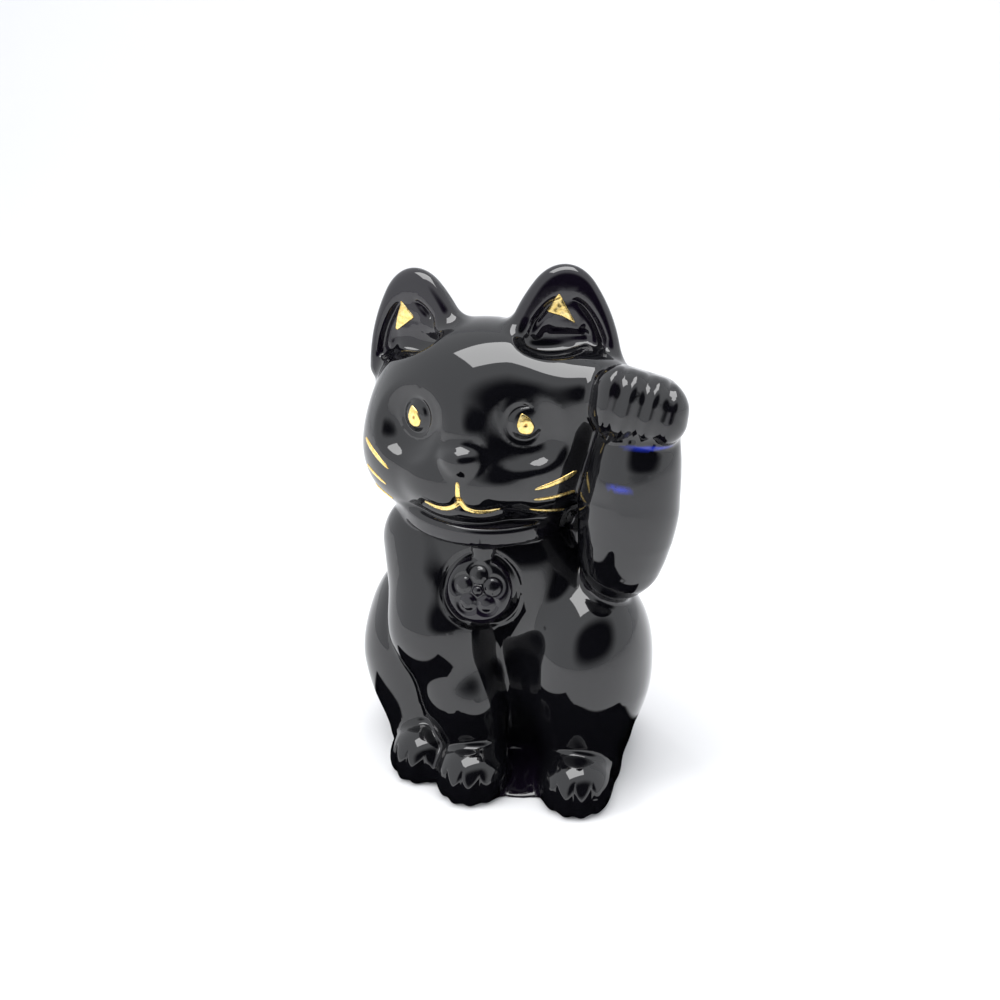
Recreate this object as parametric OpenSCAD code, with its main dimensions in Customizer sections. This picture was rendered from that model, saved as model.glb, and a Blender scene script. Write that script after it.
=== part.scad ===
// Beckoning cat figurine: one pressed casting of near-black glass with a ground
// flat base, and eleven islands of fired-on gold on its ears, eyes, mouth and cheeks.
// +Z is up and the cat looks towards -Y. The origin is on the base plane, in the
// middle between the haunches. The raised arm is the cat's left, at +X.

/* [Seat and haunches] */
// Width of the seat without the haunches
seat_w = 46; // [38:1:56]
// Depth of the seat, front to back
seat_d = 41; // [33:1:49]
// Height of the rounded seat
seat_h = 46; // [38:1:54]
// Width of each haunch
haunch_w = 23; // [18:1:28]
// Depth of each haunch
haunch_d = 31; // [25:1:37]
// Height of each haunch
haunch_h = 40; // [34:1:48]

/* [Chest] */
// Width across the chest
chest_w = 41; // [34:1:49]
// Depth of the chest, front to back
chest_d = 31; // [26:1:37]
// Height of the rounded chest
chest_h = 32; // [26:1:40]
// Sideways shift of the chest from the middle of the seat
chest_shift = -3; // [-5:0.5:0]
// Thickness of the foreleg that stands on the ground
foreleg_t = 15; // [12:0.5:18]

/* [Head] */
// Height of the underside of the head above the ground
neck_z = 52.5; // [44:0.5:63]
// Width of the head
head_w = 46; // [38:1:56]
// Depth of the head without nose and muzzle
head_d = 35; // [29:1:42]
// Height of the head without the ears
head_h = 37; // [31:0.5:45]
// Sideways shift of the head from the middle of the seat
head_shift = -4.5; // [-6:0.5:0]
// Width of the nose
nose_w = 9; // [7.5:0.5:11]
// Width of each muzzle pad
muzzle_w = 11; // [9:0.5:13]
// Distance between the centres of the eyes
eye_gap = 21; // [17:0.5:24]
// Diameter of the hollow around each eye
socket_d = 13; // [10.5:0.5:15.5]
// Diameter of each eyeball
eyeball_d = 8.8; // [7:0.2:10.4]

/* [Ears] */
// Height of each ear outline above its root
ear_h = 22; // [18:0.5:27]
// Width of each ear at its root
ear_w = 23; // [19:0.5:28]
// Thickness of each ear
ear_t = 6; // [5:0.5:7.5]
// Distance between the roots of the ears
ear_gap = 27; // [23:0.5:30]
// Depth of the hollow in the front of each ear
ear_hollow = 1.6; // [1.2:0.1:2.2]
// Width of the rim left around the hollow
ear_rim = 3.6; // [3:0.1:4.4]

/* [Raised arm] */
// Thickness of the arm at the elbow
elbow_t = 15; // [12:0.5:18]
// Thickness of the arm at the wrist
wrist_t = 14; // [11.5:0.5:17]
// Width of the raised paw
paw_w = 18; // [15:0.5:21.5]
// Height of the raised paw
paw_h = 14; // [12:0.5:17]

/* [Collar and medallion] */
// Width of the collar band
collar_w = 4; // [3:0.2:5]
// Height of the collar relief on the neck
collar_t = 1.6; // [1.2:0.1:2.2]
// Diameter of the medallion
medal_d = 13; // [10.5:0.5:15.5]
// Thickness of the medallion relief
medal_t = 3; // [2.4:0.1:3.6]

/* [Feet and tail] */
// Width of each foot
foot_w = 14.5; // [12:0.5:17]
// Length of each foot
foot_l = 17.5; // [14.5:0.5:21]
// Height of each foot
foot_h = 10; // [8:0.5:12]
// Thickness of the tail
tail_t = 9; // [7.5:0.5:11]

/* [Gold] */
// Thickness of the fired-on gold
gold_t = 0.25; // [0.2:0.05:0.4]
// Width of the gold in each eye
eye_gold_w = 3.2; // [2.6:0.1:3.8]
// Height of the gold in each eye
eye_gold_h = 4; // [3.2:0.1:4.8]
// Width of the gold triangle in each ear
ear_gold_w = 4.6; // [3.8:0.1:5.6]
// Height of the gold triangle in each ear
ear_gold_h = 5; // [4:0.1:6]
// Width of the painted mouth
mouth_w = 15; // [12:0.5:18]
// Width of the brush stroke of the mouth
mouth_line = 0.8; // [0.6:0.1:1]
// Length of each whisker stroke
whisker_l = 7; // [5.5:0.5:8.5]
// Width of each whisker stroke
whisker_line = 0.9; // [0.7:0.1:1.1]

/* [Hidden] */

// How finely the rounded shapes are faceted, by size
seg_large = 34;
seg_medium = 22;
seg_small = 12;

// Right is the cat's own right, at -X
RIGHT = -1;
LEFT = 1;

// Seat: its centre is behind the origin and its lower end is ground away flat
seat_y = 5;
ground_off = 2;
seat_z = seat_h / 2 - ground_off;

// Plinth: the glass that fills in between the feet, down to the ground
plinth = [2, seat_y - 7, 6];
plinth_r = [seat_w / 2 - 2.5, seat_d / 2 - 1.5, 9];

// Haunches: the left thigh is drawn further forward and stands higher than the right one
haunch_in = 3;
haunch_x = seat_w / 2 - haunch_in;
haunch_z = haunch_h / 2 - 1;
thigh = [haunch_x - 2.4, seat_y - 9, haunch_z + 5.5];
thigh_r = [haunch_w / 2 + 0.5, haunch_d / 2 - 1.5, haunch_h / 2 - 3];
thigh_tilt = [-10, 8, 0];
rump = [haunch_x - 1.5, seat_y + 1, haunch_z - 1];
rump_r = [haunch_w / 2 - 0.5, haunch_d / 2 - 1, haunch_h / 2 - 1];
hock_r = foot_w / 2;
hock_z = 6;

// Chest: its top reaches up into the head
chest_rise = 5.5;
chest_y = 2;
chest_z = neck_z + chest_rise - chest_h / 2;
chest_front = chest_y - chest_d / 2;
shoulder_x = chest_w / 2 - 5;

// Foreleg: from the shoulder across the chest, by way of knee and ankle
fore_shoulder = [chest_shift - shoulder_x + 3.5, chest_y - 3, chest_z + 4];
fore_knee = [chest_shift - 8, chest_front + 5.5, chest_z - 10];
fore_ankle = [chest_shift - 2.2, chest_front - 0.5, 16];
// How much thicker the foreleg is at the shoulder and at the knee
fore_swell = [2, 1];

// Head
head_y = 3.5;
head_z = neck_z + head_h / 2;
face_y = head_y - head_d / 2;
cheek_x = 9;
cheek_z = neck_z + 12;
// How far the centres of the cheeks stand in front of the centre of the head
cheek_in = 3.5;
eye_z = head_z + 2.2;
// How far out of the head the eyeballs, the nose and the muzzle stand
eyeball_out = 1.2;
nose_out = 3.4;
muzzle_out = 2.2;
nose_z = neck_z + 14.2;
muzzle_z = neck_z + 9;
chin_z = neck_z + 4.6;

// Placing of the eyes: shift to the cat's left, turn outwards and depths
eye_shift = 0.7;
eye_turn = 24;
socket_in = 1.9;
socket_depth = 7.6;
eyeball_depth = 5.6;

// Nose, muzzle pads and chin: half depth of each, and half heights
snout_r = 4;
nose_h = 6.4;
muzzle_h = 8;
chin_r = [6, snout_r, 3.2];

// Ears
ear_lean = 3;
ear_turn = 12;
ear_sink = 8;
ear_shift = 0.85;
ear_tilt = [-8, 2];
// The left ear stands a little higher than the right one
ear_rise = 0.7;
ear_y = head_y - 0.5;

// Raised arm: from the chest out to the elbow, up to the wrist and over to the paw.
// Its inner side keeps clear of the cheek, whatever the width of head or arm.
head_side = head_shift + head_w / 2;
elbow_tuck = 0.8;
wrist_gap = 2.5;
elbow = [head_side - elbow_tuck + elbow_t / 2, -8, neck_z + 2];
wrist = [head_side + wrist_gap + wrist_t / 2, -9, head_z - 3];
paw = [wrist.x - 1.2, wrist.y - 1.4, head_z + 5.8];
paw_d = 15;
paw_tilt = [0, 8, 0];
fingers = 4;
// How far neighbouring fingers and toes run into each other
toe_overlap = 1.6;

// Glass that joins the paw and the arm to the side of the head and closes the gap between them
bridge = [head_side - 1, head_y - 3.5, paw.z + 0.6];
bridge_r = [11, 8.4, 6.4];
web_x = head_side - 1;
web_y = -2.5;
web_r = 4.5;

// Feet: centre and turn of each
foot_y = seat_y - seat_d / 2 - 10.7 + foot_l / 2;
instep_z = 3.2;
feet = [[-haunch_x + 7.5, foot_y + 3.5, -14], [-2, foot_y, 0], [haunch_x - 1.5, foot_y + 2, 8]];
toes = 4;

// Tail: how far its middle line lies inside the back of the seat, and where it ends
tail_in = 3;
tail_bend_x = 9;
tail_end = [13, 15];

// Collar: a tilted band around the neck, just under the head
collar_z = neck_z + 2.5;
collar_tilt = [11, 3, 0];
collar_r = chest_w / 2 - 3.3;
collar_oval = [1.03, 0.97, 1];

// Medallion: hangs on the chest below the collar
medal_z = neck_z - 11;
medal_lean = -18;
medal_turn = 4;
medal_at = [chest_shift + 2, chest_front - 1.6, medal_z];
petals = 5;
petal_ring = medal_d * 0.2;
petal_d = medal_d * 0.24;
petal_t = 1;
bail_r = 1.8;

// Gold marks, placed on the part that each one is painted on
mark_reach = 30;
ear_gold_up = ear_h / 2 + 0.4;
mouth_z = neck_z + 5.4;
philtrum_l = 4.2;
// Whisker strokes from the top down: height above the neck, slope, and step in from the edge
whisker_up = [9.8, 7, 4.4];
whisker_slope = [0.38, 0.14, -0.12];
whisker_step = [0, 0.4, 2.2];
// Distance from the widest point of the head to the middle of the top stroke, and its turn
whisker_edge = [3.9, 6.4];
whisker_yaw = [-42, 36];
// Depth of the whisker outlines, short enough to miss the arm in front of the cheek
whisker_reach = 4.4;
// Radius of the fine end of a brush stroke, and of the corners of a triangle
brush_r = 0.3;

// Side of the block that keeps what is above the ground
above_ground = 200;

// How much the casting is thickened: 0 for the glass, gold_t for the face of the gold
$grow = 0;

// Point on the front of the head, x and z measured from the head's centre
function front_y(x, z) =
    head_y - head_d / 2 * sqrt(max(0.05, 1 - pow(2 * x / head_w, 2) - pow(2 * z / head_h, 2)));

// Point on the front of a cheek, x from the middle of the head and z from the ground
function cheek_y(x, z) = let (r = cheek_r()) head_y - cheek_in
    - r.y * sqrt(max(0.05, 1 - pow((x - cheek_x) / r.x, 2) - pow((z - cheek_z) / r.z, 2)));

// Sideways place of an eye
function eye_x(side) = head_shift + eye_shift + side * eye_gap / 2;

// Half sizes of a cheek
function cheek_r() = [head_w / 2 - cheek_x + 0.4, head_d / 2 - 4, cheek_z - neck_z];

// Height of the head's upper surface at a distance from its middle
function crown_z(x) = head_z + head_h / 2 * sqrt(max(0.05, 1 - pow(2 * x / head_w, 2)));

// Half width of a pointed arch of width w and height h, at a height above its foot
function arch_half(w, h, at) =
    let (r = (h * h + w * w / 4) / w) sqrt(max(0, r * r - at * at)) - r + w / 2;

// Outline of a pointed arch, drawn up one side and down the other
function arch_outline(w, h, steps = 8) = concat(
    [for (i = [0 : steps]) [arch_half(w, h, h * i / steps), h * i / steps]],
    [for (i = [steps - 1 : -1 : 0]) [-arch_half(w, h, h * i / steps), h * i / steps]]);

// Point on a quadratic curve through three control points
function curve_at(a, b, c, t) = (1 - t) * (1 - t) * a + 2 * t * (1 - t) * b + t * t * c;

// Rounded lump with its centre at a place and half sizes r
module blob(at, r, tilt = [0, 0, 0], seg = seg_medium)
    translate(at) rotate(tilt) hull() scale([r.x + $grow, r.y + $grow, r.z + $grow]) sphere(1, $fn = seg);

// Tapering limb between two round ends
module limb(a, ra, b, rb) hull() {
    translate(a) sphere(ra + $grow, $fn = seg_medium);
    translate(b) sphere(rb + $grow, $fn = seg_medium);
}

// Half-size vector of a lump from its full sizes
function half(w, d, h) = [w / 2, d / 2, h / 2];

module seat() {
    hull() {
        blob([0, seat_y, seat_z], half(seat_w, seat_d, seat_h + 2), seg = seg_large);
        blob([chest_shift, chest_y, chest_z], half(chest_w, chest_d, chest_h), seg = seg_large);
    }
    blob(plinth, plinth_r);
}

module haunches() {
    blob([-haunch_x, seat_y, haunch_z], half(haunch_w, haunch_d + 1, haunch_h));
    blob(thigh, thigh_r, thigh_tilt);
    blob(rump, rump_r);
    hocks = [[feet[0].x - 2, feet[0].y + 6, hock_z], [feet[2].x, feet[2].y + 5, hock_z]];
    limb([-haunch_x + 2.5, seat_y - 7, haunch_z + 1], haunch_w / 2 - 1.5, hocks[0], hock_r);
    limb([haunch_x - 2, seat_y - 11, haunch_z - 1], haunch_w / 2 - 2, hocks[1], hock_r);
}

// Foreleg from the shoulder across the chest down to the middle foot
module foreleg() {
    r = foreleg_t / 2;
    limb(fore_shoulder, r + fore_swell[0], fore_knee, r + fore_swell[1]);
    limb(fore_knee, r + fore_swell[1], fore_ankle, r);
    limb(fore_ankle, r, [feet[1].x, feet[1].y + 1.5, hock_z], r - 0.6);
}

// One foot: an instep and a fan of toes
module foot(place) translate([place.x, place.y, 0]) rotate(place[2]) {
    blob([0, 1, instep_z], half(foot_w, foot_l - 3, 2 * (foot_h - instep_z)));
    toe_pitch = foot_w / (toes + 0.6);
    toe_l = foot_l / 2;
    for (i = [0 : toes - 1]) {
        across = (i - (toes - 1) / 2) * toe_pitch;
        curl = 0.06 * across * across;
        blob([across, (toe_l - foot_l) / 2 + curl, foot_h / 2 - 1.8],
            half(toe_pitch + toe_overlap, toe_l, foot_h), seg = seg_small);
    }
}

module head() {
    skull = [head_shift, head_y, head_z];
    eye_depth = front_y(eye_gap / 2, eye_z - head_z);
    difference() {
        hull() {
            blob(skull, half(head_w, head_d, head_h), seg = seg_large);
            for (side = [RIGHT, LEFT])
                blob([head_shift + side * cheek_x, head_y - cheek_in, cheek_z], cheek_r(), seg = seg_large);
        }
        for (side = [RIGHT, LEFT])
            translate([eye_x(side), eye_depth - socket_in, eye_z]) rotate([0, 0, side * eye_turn])
                hull() scale(half(socket_d - 2 * $grow, socket_depth - 2 * $grow, socket_d - 2 * $grow))
                    sphere(1, $fn = seg_medium);
    }
    for (side = [RIGHT, LEFT]) {
        blob([eye_x(side), eye_depth + eyeball_depth / 2 - eyeball_out, eye_z],
            half(eyeball_d, eyeball_depth, eyeball_d), [0, 0, side * eye_turn]);
        blob([head_shift + side * (muzzle_w / 2 - 1.1), face_y + snout_r - muzzle_out, muzzle_z],
            half(muzzle_w, 2 * snout_r, muzzle_h));
    }
    blob([head_shift, face_y + snout_r - nose_out, nose_z], half(nose_w, 2 * snout_r, nose_h));
    blob([head_shift, face_y + snout_r, chin_z], chin_r);
}

// Frame of one ear: origin at the middle of its root, X across, Z up the ear
module ear_frame(side) {
    root_x = side * ear_gap / 2 + ear_shift;
    translate([head_shift + root_x, ear_y, crown_z(ear_gap / 2) - ear_sink + side * ear_rise])
        rotate([-ear_lean, ear_tilt[side == LEFT ? 1 : 0], side * ear_turn]) children();
}

// Slab with a pointed-arch outline and rounded edges
module ear_slab() {
    tip = [0, 0, ear_h - ear_t / 2];
    steps = 4;
    hull() for (i = [0 : steps], side = [RIGHT, LEFT]) {
        up = tip.z * i / steps;
        across = max(0, arch_half(ear_w, ear_h + 2, up) - ear_t / 2);
        translate([side * across, 0, up]) sphere(ear_t / 2 * (1 - 0.2 * i / steps) + $grow, $fn = seg_small);
    }
}

// Hollow in the front of an ear; its floor is where the gold triangle sits
module ear_cup() {
    floor_y = -ear_t / 2 + ear_hollow - $grow;
    translate([0, floor_y, 4]) rotate([90, 0, 0]) linear_extrude(ear_t)
        offset(delta = -$grow) polygon(arch_outline(ear_w - 2 * ear_rim, ear_h - ear_rim - 5));
}

module ears() for (side = [RIGHT, LEFT]) ear_frame(side) difference() {
    ear_slab();
    ear_cup();
}

// Raised arm with its paw turned forward, the fingers bent down
module raised_arm() {
    shoulder = [chest_shift + chest_w / 2, -4, chest_z];
    limb(shoulder, elbow_t / 2 - 1.5, elbow, elbow_t / 2);
    limb(elbow, elbow_t / 2, wrist, wrist_t / 2);
    limb(wrist, wrist_t / 2, [wrist.x - 1, wrist.y + 3, paw.z - 2], wrist_t / 2);
    blob(paw, half(paw_w, paw_d, paw_h), paw_tilt);
    finger_pitch = paw_w / (fingers + 0.5);
    finger_l = 0.6 * paw_d;
    translate(paw) rotate(paw_tilt) for (i = [0 : fingers - 1])
        blob([(i - (fingers - 1) / 2) * finger_pitch, (finger_l - paw_d) / 2, -0.8],
            half(finger_pitch + toe_overlap, finger_l, paw_h - 1), seg = seg_small);
    blob(bridge, bridge_r);
    hull() for (at = [[web_x, web_y, elbow.z], [web_x + 3, web_y, wrist.z - 2], [web_x + 3, web_y, paw.z]])
        translate(at) sphere(web_r + $grow, $fn = seg_small);
}

module collar_relief() translate([chest_shift - 0.6, chest_y - 1.2, collar_z]) rotate(collar_tilt)
    scale(collar_oval) cylinder(r = collar_r + collar_t + $grow, h = collar_w + 2 * $grow, center = true,
        $fn = seg_large);

module medallion() translate(medal_at) rotate([90 + medal_lean, 0, medal_turn]) {
    cylinder(d = medal_d + 2 * $grow, h = medal_t + 2 * $grow, center = true, $fn = seg_large);
    // Plain plum blossom in low relief
    for (i = [0 : petals - 1]) rotate(90 + i * 360 / petals) translate([petal_ring, 0, medal_t / 2])
        cylinder(d = petal_d + 2 * $grow, h = petal_t + 2 * $grow, center = true, $fn = seg_small);
    // Bail that holds the medallion to the collar
    translate([0, medal_d / 2 + bail_r / 2, 0]) sphere(bail_r + $grow, $fn = seg_small);
}

// Short tail curled up against the back
module tail() {
    r = tail_t / 2;
    line_y = seat_y + seat_d / 2 - tail_in;
    bend = [tail_bend_x, line_y, r];
    limb([tail_bend_x - 10, line_y, r], r, bend, r);
    limb(bend, r, [tail_end.x, line_y - 1, tail_end.y], r - 0.8);
}

// The whole casting, thickened by $grow and cut flat at the ground
module casting() intersection() {
    union() {
        seat();
        haunches();
        foreleg();
        for (place = feet) foot(place);
        head();
        ears();
        raised_arm();
        collar_relief();
        medallion();
        tail();
    }
    translate([-above_ground / 2, -above_ground / 2, 0]) cube(above_ground);
}

module crystal_body() color([0.04, 0.04, 0.06]) casting();

// Gold skin of the casting where a prism of the painted outline meets it
module gold_film() color([0.83, 0.66, 0.27]) difference() {
    intersection() {
        casting($grow = gold_t);
        children();
    }
    casting($grow = 0);
}

// Outline drawn in X and Z, reaching towards -Y from the given depth
module stamp(reach = mark_reach) rotate([90, 0, 0]) linear_extrude(reach) children();

module ear_gold(side) {
    foot_x = ear_gold_w / 2 - brush_r;
    corners = [[-foot_x, brush_r], [foot_x, brush_r], [0, ear_gold_h - brush_r]];
    floor_y = -ear_t / 2 + ear_hollow;
    gold_film() ear_frame(side) translate([side * 0.4, floor_y + 0.3, ear_gold_up]) stamp(ear_hollow + 0.6)
        hull() for (at = corners) translate(at) circle(brush_r, $fn = seg_small);
}

module eye_gold(side) gold_film() translate([eye_x(side), face_y + 8, eye_z]) stamp() hull() {
    radius = eye_gold_w / 2;
    translate([0, -eye_gold_h / 2 + radius]) circle(radius, $fn = seg_medium);
    translate([-0.5, eye_gold_h / 2 - brush_r]) circle(brush_r, $fn = seg_small);
}

// Brush stroke along a curve, thick in the middle and fine at the ends
module stroke(a, b, c, width, steps = 6) for (i = [0 : steps - 1]) hull() for (k = [i, i + 1]) {
    t = k / steps;
    translate(curve_at(a, b, c, t)) circle(d = width * (0.45 + 0.55 * sin(180 * t)), $fn = seg_small);
}

module mouth_gold() gold_film() translate([head_shift, face_y + 10, mouth_z]) stamp() {
    fork = [0, 1.2];
    stroke([0, philtrum_l], [0.1, philtrum_l / 2], [0, 0.6], mouth_line * 1.3);
    for (side = [RIGHT, LEFT])
        stroke(fork, [side * mouth_w * 0.16, -2.2], [side * mouth_w / 2, -1], mouth_line * 1.2);
}

// Whisker strokes, numbered from the top
module whisker_gold(side, row) {
    of_side = side == LEFT ? 1 : 0;
    in_x = head_w / 2 - whisker_edge[of_side] - whisker_step[row];
    up = neck_z + whisker_up[row];
    outer = [side, whisker_slope[row]] * whisker_l / 2;
    gold_film() translate([head_shift + side * in_x, cheek_y(in_x, up), up])
        rotate([0, 0, whisker_yaw[of_side]]) translate([0, whisker_reach / 2, 0]) stamp(whisker_reach)
            stroke(-outer, [0, -0.4], outer, whisker_line);
}

crystal_body();
ear_gold(RIGHT);  // ear_gold_right
ear_gold(LEFT);  // ear_gold_left
eye_gold(RIGHT);  // eye_gold_right
eye_gold(LEFT);  // eye_gold_left
mouth_gold();
whisker_gold(RIGHT, 0);  // whisker_gold_right_upper
whisker_gold(RIGHT, 1);  // whisker_gold_right_middle
whisker_gold(RIGHT, 2);  // whisker_gold_right_lower
whisker_gold(LEFT, 0);  // whisker_gold_left_upper
whisker_gold(LEFT, 1);  // whisker_gold_left_middle
whisker_gold(LEFT, 2);  // whisker_gold_left_lower
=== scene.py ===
"""Beckoning cat figurine: a near-black crystal casting with fired-on gold marks.

The casting is sculpted as a distance field in millimetres, one class for each part of the cat, and then
meshed. The gold marks are flat painted outlines that a Geometry Nodes tree lays onto the casting.
"""

import logging
import math
from dataclasses import dataclass, field
from enum import Enum
from typing import Any, Callable, Iterable, Sequence

import bmesh
import bpy
import numpy as np
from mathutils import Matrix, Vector
from mathutils.geometry import delaunay_2d_cdt


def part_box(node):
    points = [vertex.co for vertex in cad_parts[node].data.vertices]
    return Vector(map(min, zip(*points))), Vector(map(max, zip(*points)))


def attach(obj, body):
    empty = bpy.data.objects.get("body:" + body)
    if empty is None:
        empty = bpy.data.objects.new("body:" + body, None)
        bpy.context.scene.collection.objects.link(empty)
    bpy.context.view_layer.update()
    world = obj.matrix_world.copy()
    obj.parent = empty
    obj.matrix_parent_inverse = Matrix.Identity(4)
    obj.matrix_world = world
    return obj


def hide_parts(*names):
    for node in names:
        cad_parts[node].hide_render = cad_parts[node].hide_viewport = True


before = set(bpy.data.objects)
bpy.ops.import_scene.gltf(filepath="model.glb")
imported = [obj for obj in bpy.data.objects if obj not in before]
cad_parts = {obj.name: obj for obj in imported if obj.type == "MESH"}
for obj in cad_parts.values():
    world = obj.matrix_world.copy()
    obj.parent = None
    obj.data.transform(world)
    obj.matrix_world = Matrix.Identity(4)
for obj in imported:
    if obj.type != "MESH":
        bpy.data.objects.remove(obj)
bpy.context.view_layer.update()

log = logging.getLogger("cat")
MM = 0.001
Triple = tuple[float, float, float]
Pair = tuple[float, float]
Measure = Callable[[np.ndarray], np.ndarray]


class Side(Enum):
    """The cat's own sides, as signs of X."""

    RIGHT = -1
    LEFT = 1


# ---------------------------------------------------------------- distance fields

def soft_union(a: np.ndarray, b: np.ndarray, reach: float) -> np.ndarray:
    """Joins two distance fields with a fillet.

    Args:
        a: Distances to the first shape.
        b: Distances to the second shape.
        reach: Width of the band in which the shapes melt together, in mm.

    Returns:
        Distances to the joined shape.
    """
    overlap = np.maximum(reach - np.abs(a - b), 0) / reach
    return np.minimum(a, b) - overlap * overlap * reach / 4


def soft_common(a: np.ndarray, b: np.ndarray, reach: float) -> np.ndarray:
    """Keeps what two shapes share, with a rounded edge.

    Args:
        a: Distances to the first shape.
        b: Distances to the second shape.
        reach: Width of the rounding, in mm.

    Returns:
        Distances to the shared shape.
    """
    return -soft_union(-a, -b, reach)


def soft_cut(body: np.ndarray, tool: np.ndarray, reach: float) -> np.ndarray:
    """Cuts a tool out of a body, with a rounded edge.

    Args:
        body: Distances to the body.
        tool: Distances to the tool.
        reach: Width of the rounding, in mm.

    Returns:
        Distances to what is left.
    """
    return soft_common(body, -tool, reach)


def groove(body: np.ndarray, lateral: np.ndarray, radius: float, reach: float) -> np.ndarray:
    """Presses a line into a surface, to the same depth all along.

    Args:
        body: Distances to the body.
        lateral: Distance of each point from the line, measured along the surface.
        radius: Depth and half width of the line, in mm.
        reach: Width of the rounding at its edges, in mm.

    Returns:
        Distances to the grooved body.
    """
    return soft_cut(body, np.hypot(lateral, body) - radius, reach)


@dataclass(frozen=True)
class Place:
    """A local frame: an origin in mm and turns about X, Y and Z in degrees."""

    at: Triple
    turn: Triple = (0.0, 0.0, 0.0)

    def matrix(self) -> np.ndarray:
        """Returns the rotation from this frame to the cat's frame."""
        rx, ry, rz = np.radians(self.turn)
        about_x = np.array([[1, 0, 0], [0, np.cos(rx), -np.sin(rx)], [0, np.sin(rx), np.cos(rx)]])
        about_y = np.array([[np.cos(ry), 0, np.sin(ry)], [0, 1, 0], [-np.sin(ry), 0, np.cos(ry)]])
        about_z = np.array([[np.cos(rz), -np.sin(rz), 0], [np.sin(rz), np.cos(rz), 0], [0, 0, 1]])
        return (about_z @ about_y @ about_x).astype(np.float32)

    def local(self, points: np.ndarray) -> np.ndarray:
        """Returns the points in this frame."""
        moved = points - np.asarray(self.at, np.float32)
        return moved @ self.matrix() if any(self.turn) else moved


@dataclass(frozen=True)
class Lump:
    """An ellipsoid with half sizes in mm."""

    at: Triple
    half: Triple
    turn: Triple = (0.0, 0.0, 0.0)

    def distance(self, points: np.ndarray) -> np.ndarray:
        """Returns the distance of each point from the surface, close to it."""
        local = Place(self.at, self.turn).local(points)
        half = np.asarray(self.half, np.float32)
        k0 = np.linalg.norm(local / half, axis=-1)
        k1 = np.linalg.norm(local / (half * half), axis=-1)
        return k0 * (k0 - 1) / np.maximum(k1, 1e-6)


def rounded_box(local: np.ndarray, half: Triple, edge: float) -> np.ndarray:
    """Returns the distance of each point, in the box's own frame, from a box with round edges."""
    q = np.abs(local) - (np.asarray(half, np.float32) - edge)
    return np.linalg.norm(np.maximum(q, 0), axis=-1) + np.minimum(q.max(-1), 0) - edge


def limb(points: np.ndarray, stations: Sequence[tuple[Triple, float]], reach: float) -> np.ndarray:
    """Sweeps a round section of changing radius through stations.

    Args:
        points: Where to measure, in mm.
        stations: Centre and radius of each station, in order.
        reach: Width of the fillet where two stretches meet, in mm.

    Returns:
        Distance of each point from the limb.
    """
    result = None
    for (start, r0), (end, r1) in zip(stations, stations[1:]):
        a, b = np.asarray(start, np.float32), np.asarray(end, np.float32)
        along = np.clip(((points - a) @ (b - a)) / ((b - a) @ (b - a)), 0, 1)
        part = np.linalg.norm(points - a - along[..., None] * (b - a), axis=-1) - (r0 + (r1 - r0) * along)
        result = part if result is None else soft_union(result, part, reach)
    return result


def pointed_arch(across: np.ndarray, up: np.ndarray, half_width: float, height: float,
                 reach: float) -> np.ndarray:
    """Measures from a pointed arch, the outline of a cat's ear.

    Args:
        across: Distance from the arch's middle line.
        up: Height above its foot.
        half_width: Half width at the foot, in mm.
        height: Height of the sharp apex, in mm.
        reach: Width of the rounding at the apex, in mm.

    Returns:
        Distance of each point from the outline, negative inside.
    """
    radius = (height * height + half_width * half_width) / (2 * half_width)
    above = np.maximum(up, 0)
    left = np.hypot(across + radius - half_width, above) - radius
    right = np.hypot(radius - half_width - across, above) - radius
    return soft_common(left, right, reach)


def rounded_slab(outline: np.ndarray, depth: np.ndarray, half_thick: np.ndarray | float,
                 edge: float) -> np.ndarray:
    """Gives an outline a thickness and a round edge.

    Args:
        outline: Distance from the outline, negative inside.
        depth: Distance from the slab's middle plane.
        half_thick: Half the slab's thickness, in mm.
        edge: Radius of the round edge, in mm.

    Returns:
        Distance of each point from the slab.
    """
    side, face = outline + edge, np.abs(depth) - (half_thick - edge)
    outside = np.hypot(np.maximum(side, 0), np.maximum(face, 0))
    return outside + np.minimum(np.maximum(side, face), 0) - edge


def curve_points(a: Pair, b: Pair, c: Pair, steps: int) -> np.ndarray:
    """Returns points along a quadratic curve from a to c, pulled towards b."""
    t = np.linspace(0, 1, steps)[:, None]
    return (1 - t) ** 2 * np.array(a) + 2 * t * (1 - t) * np.array(b) + t ** 2 * np.array(c)


def near_polyline(x: np.ndarray, z: np.ndarray, line: np.ndarray) -> np.ndarray:
    """Returns the distance of each (x, z) from a polyline."""
    best = np.full(x.shape, 1e3, np.float32)
    for (ax, az), (bx, bz) in zip(line, line[1:]):
        dx, dz = bx - ax, bz - az
        t = np.clip(((x - ax) * dx + (z - az) * dz) / (dx * dx + dz * dz), 0, 1)
        best = np.minimum(best, np.hypot(x - ax - t * dx, z - az - t * dz))
    return best


# ---------------------------------------------------------------- the parts of the cat

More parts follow.
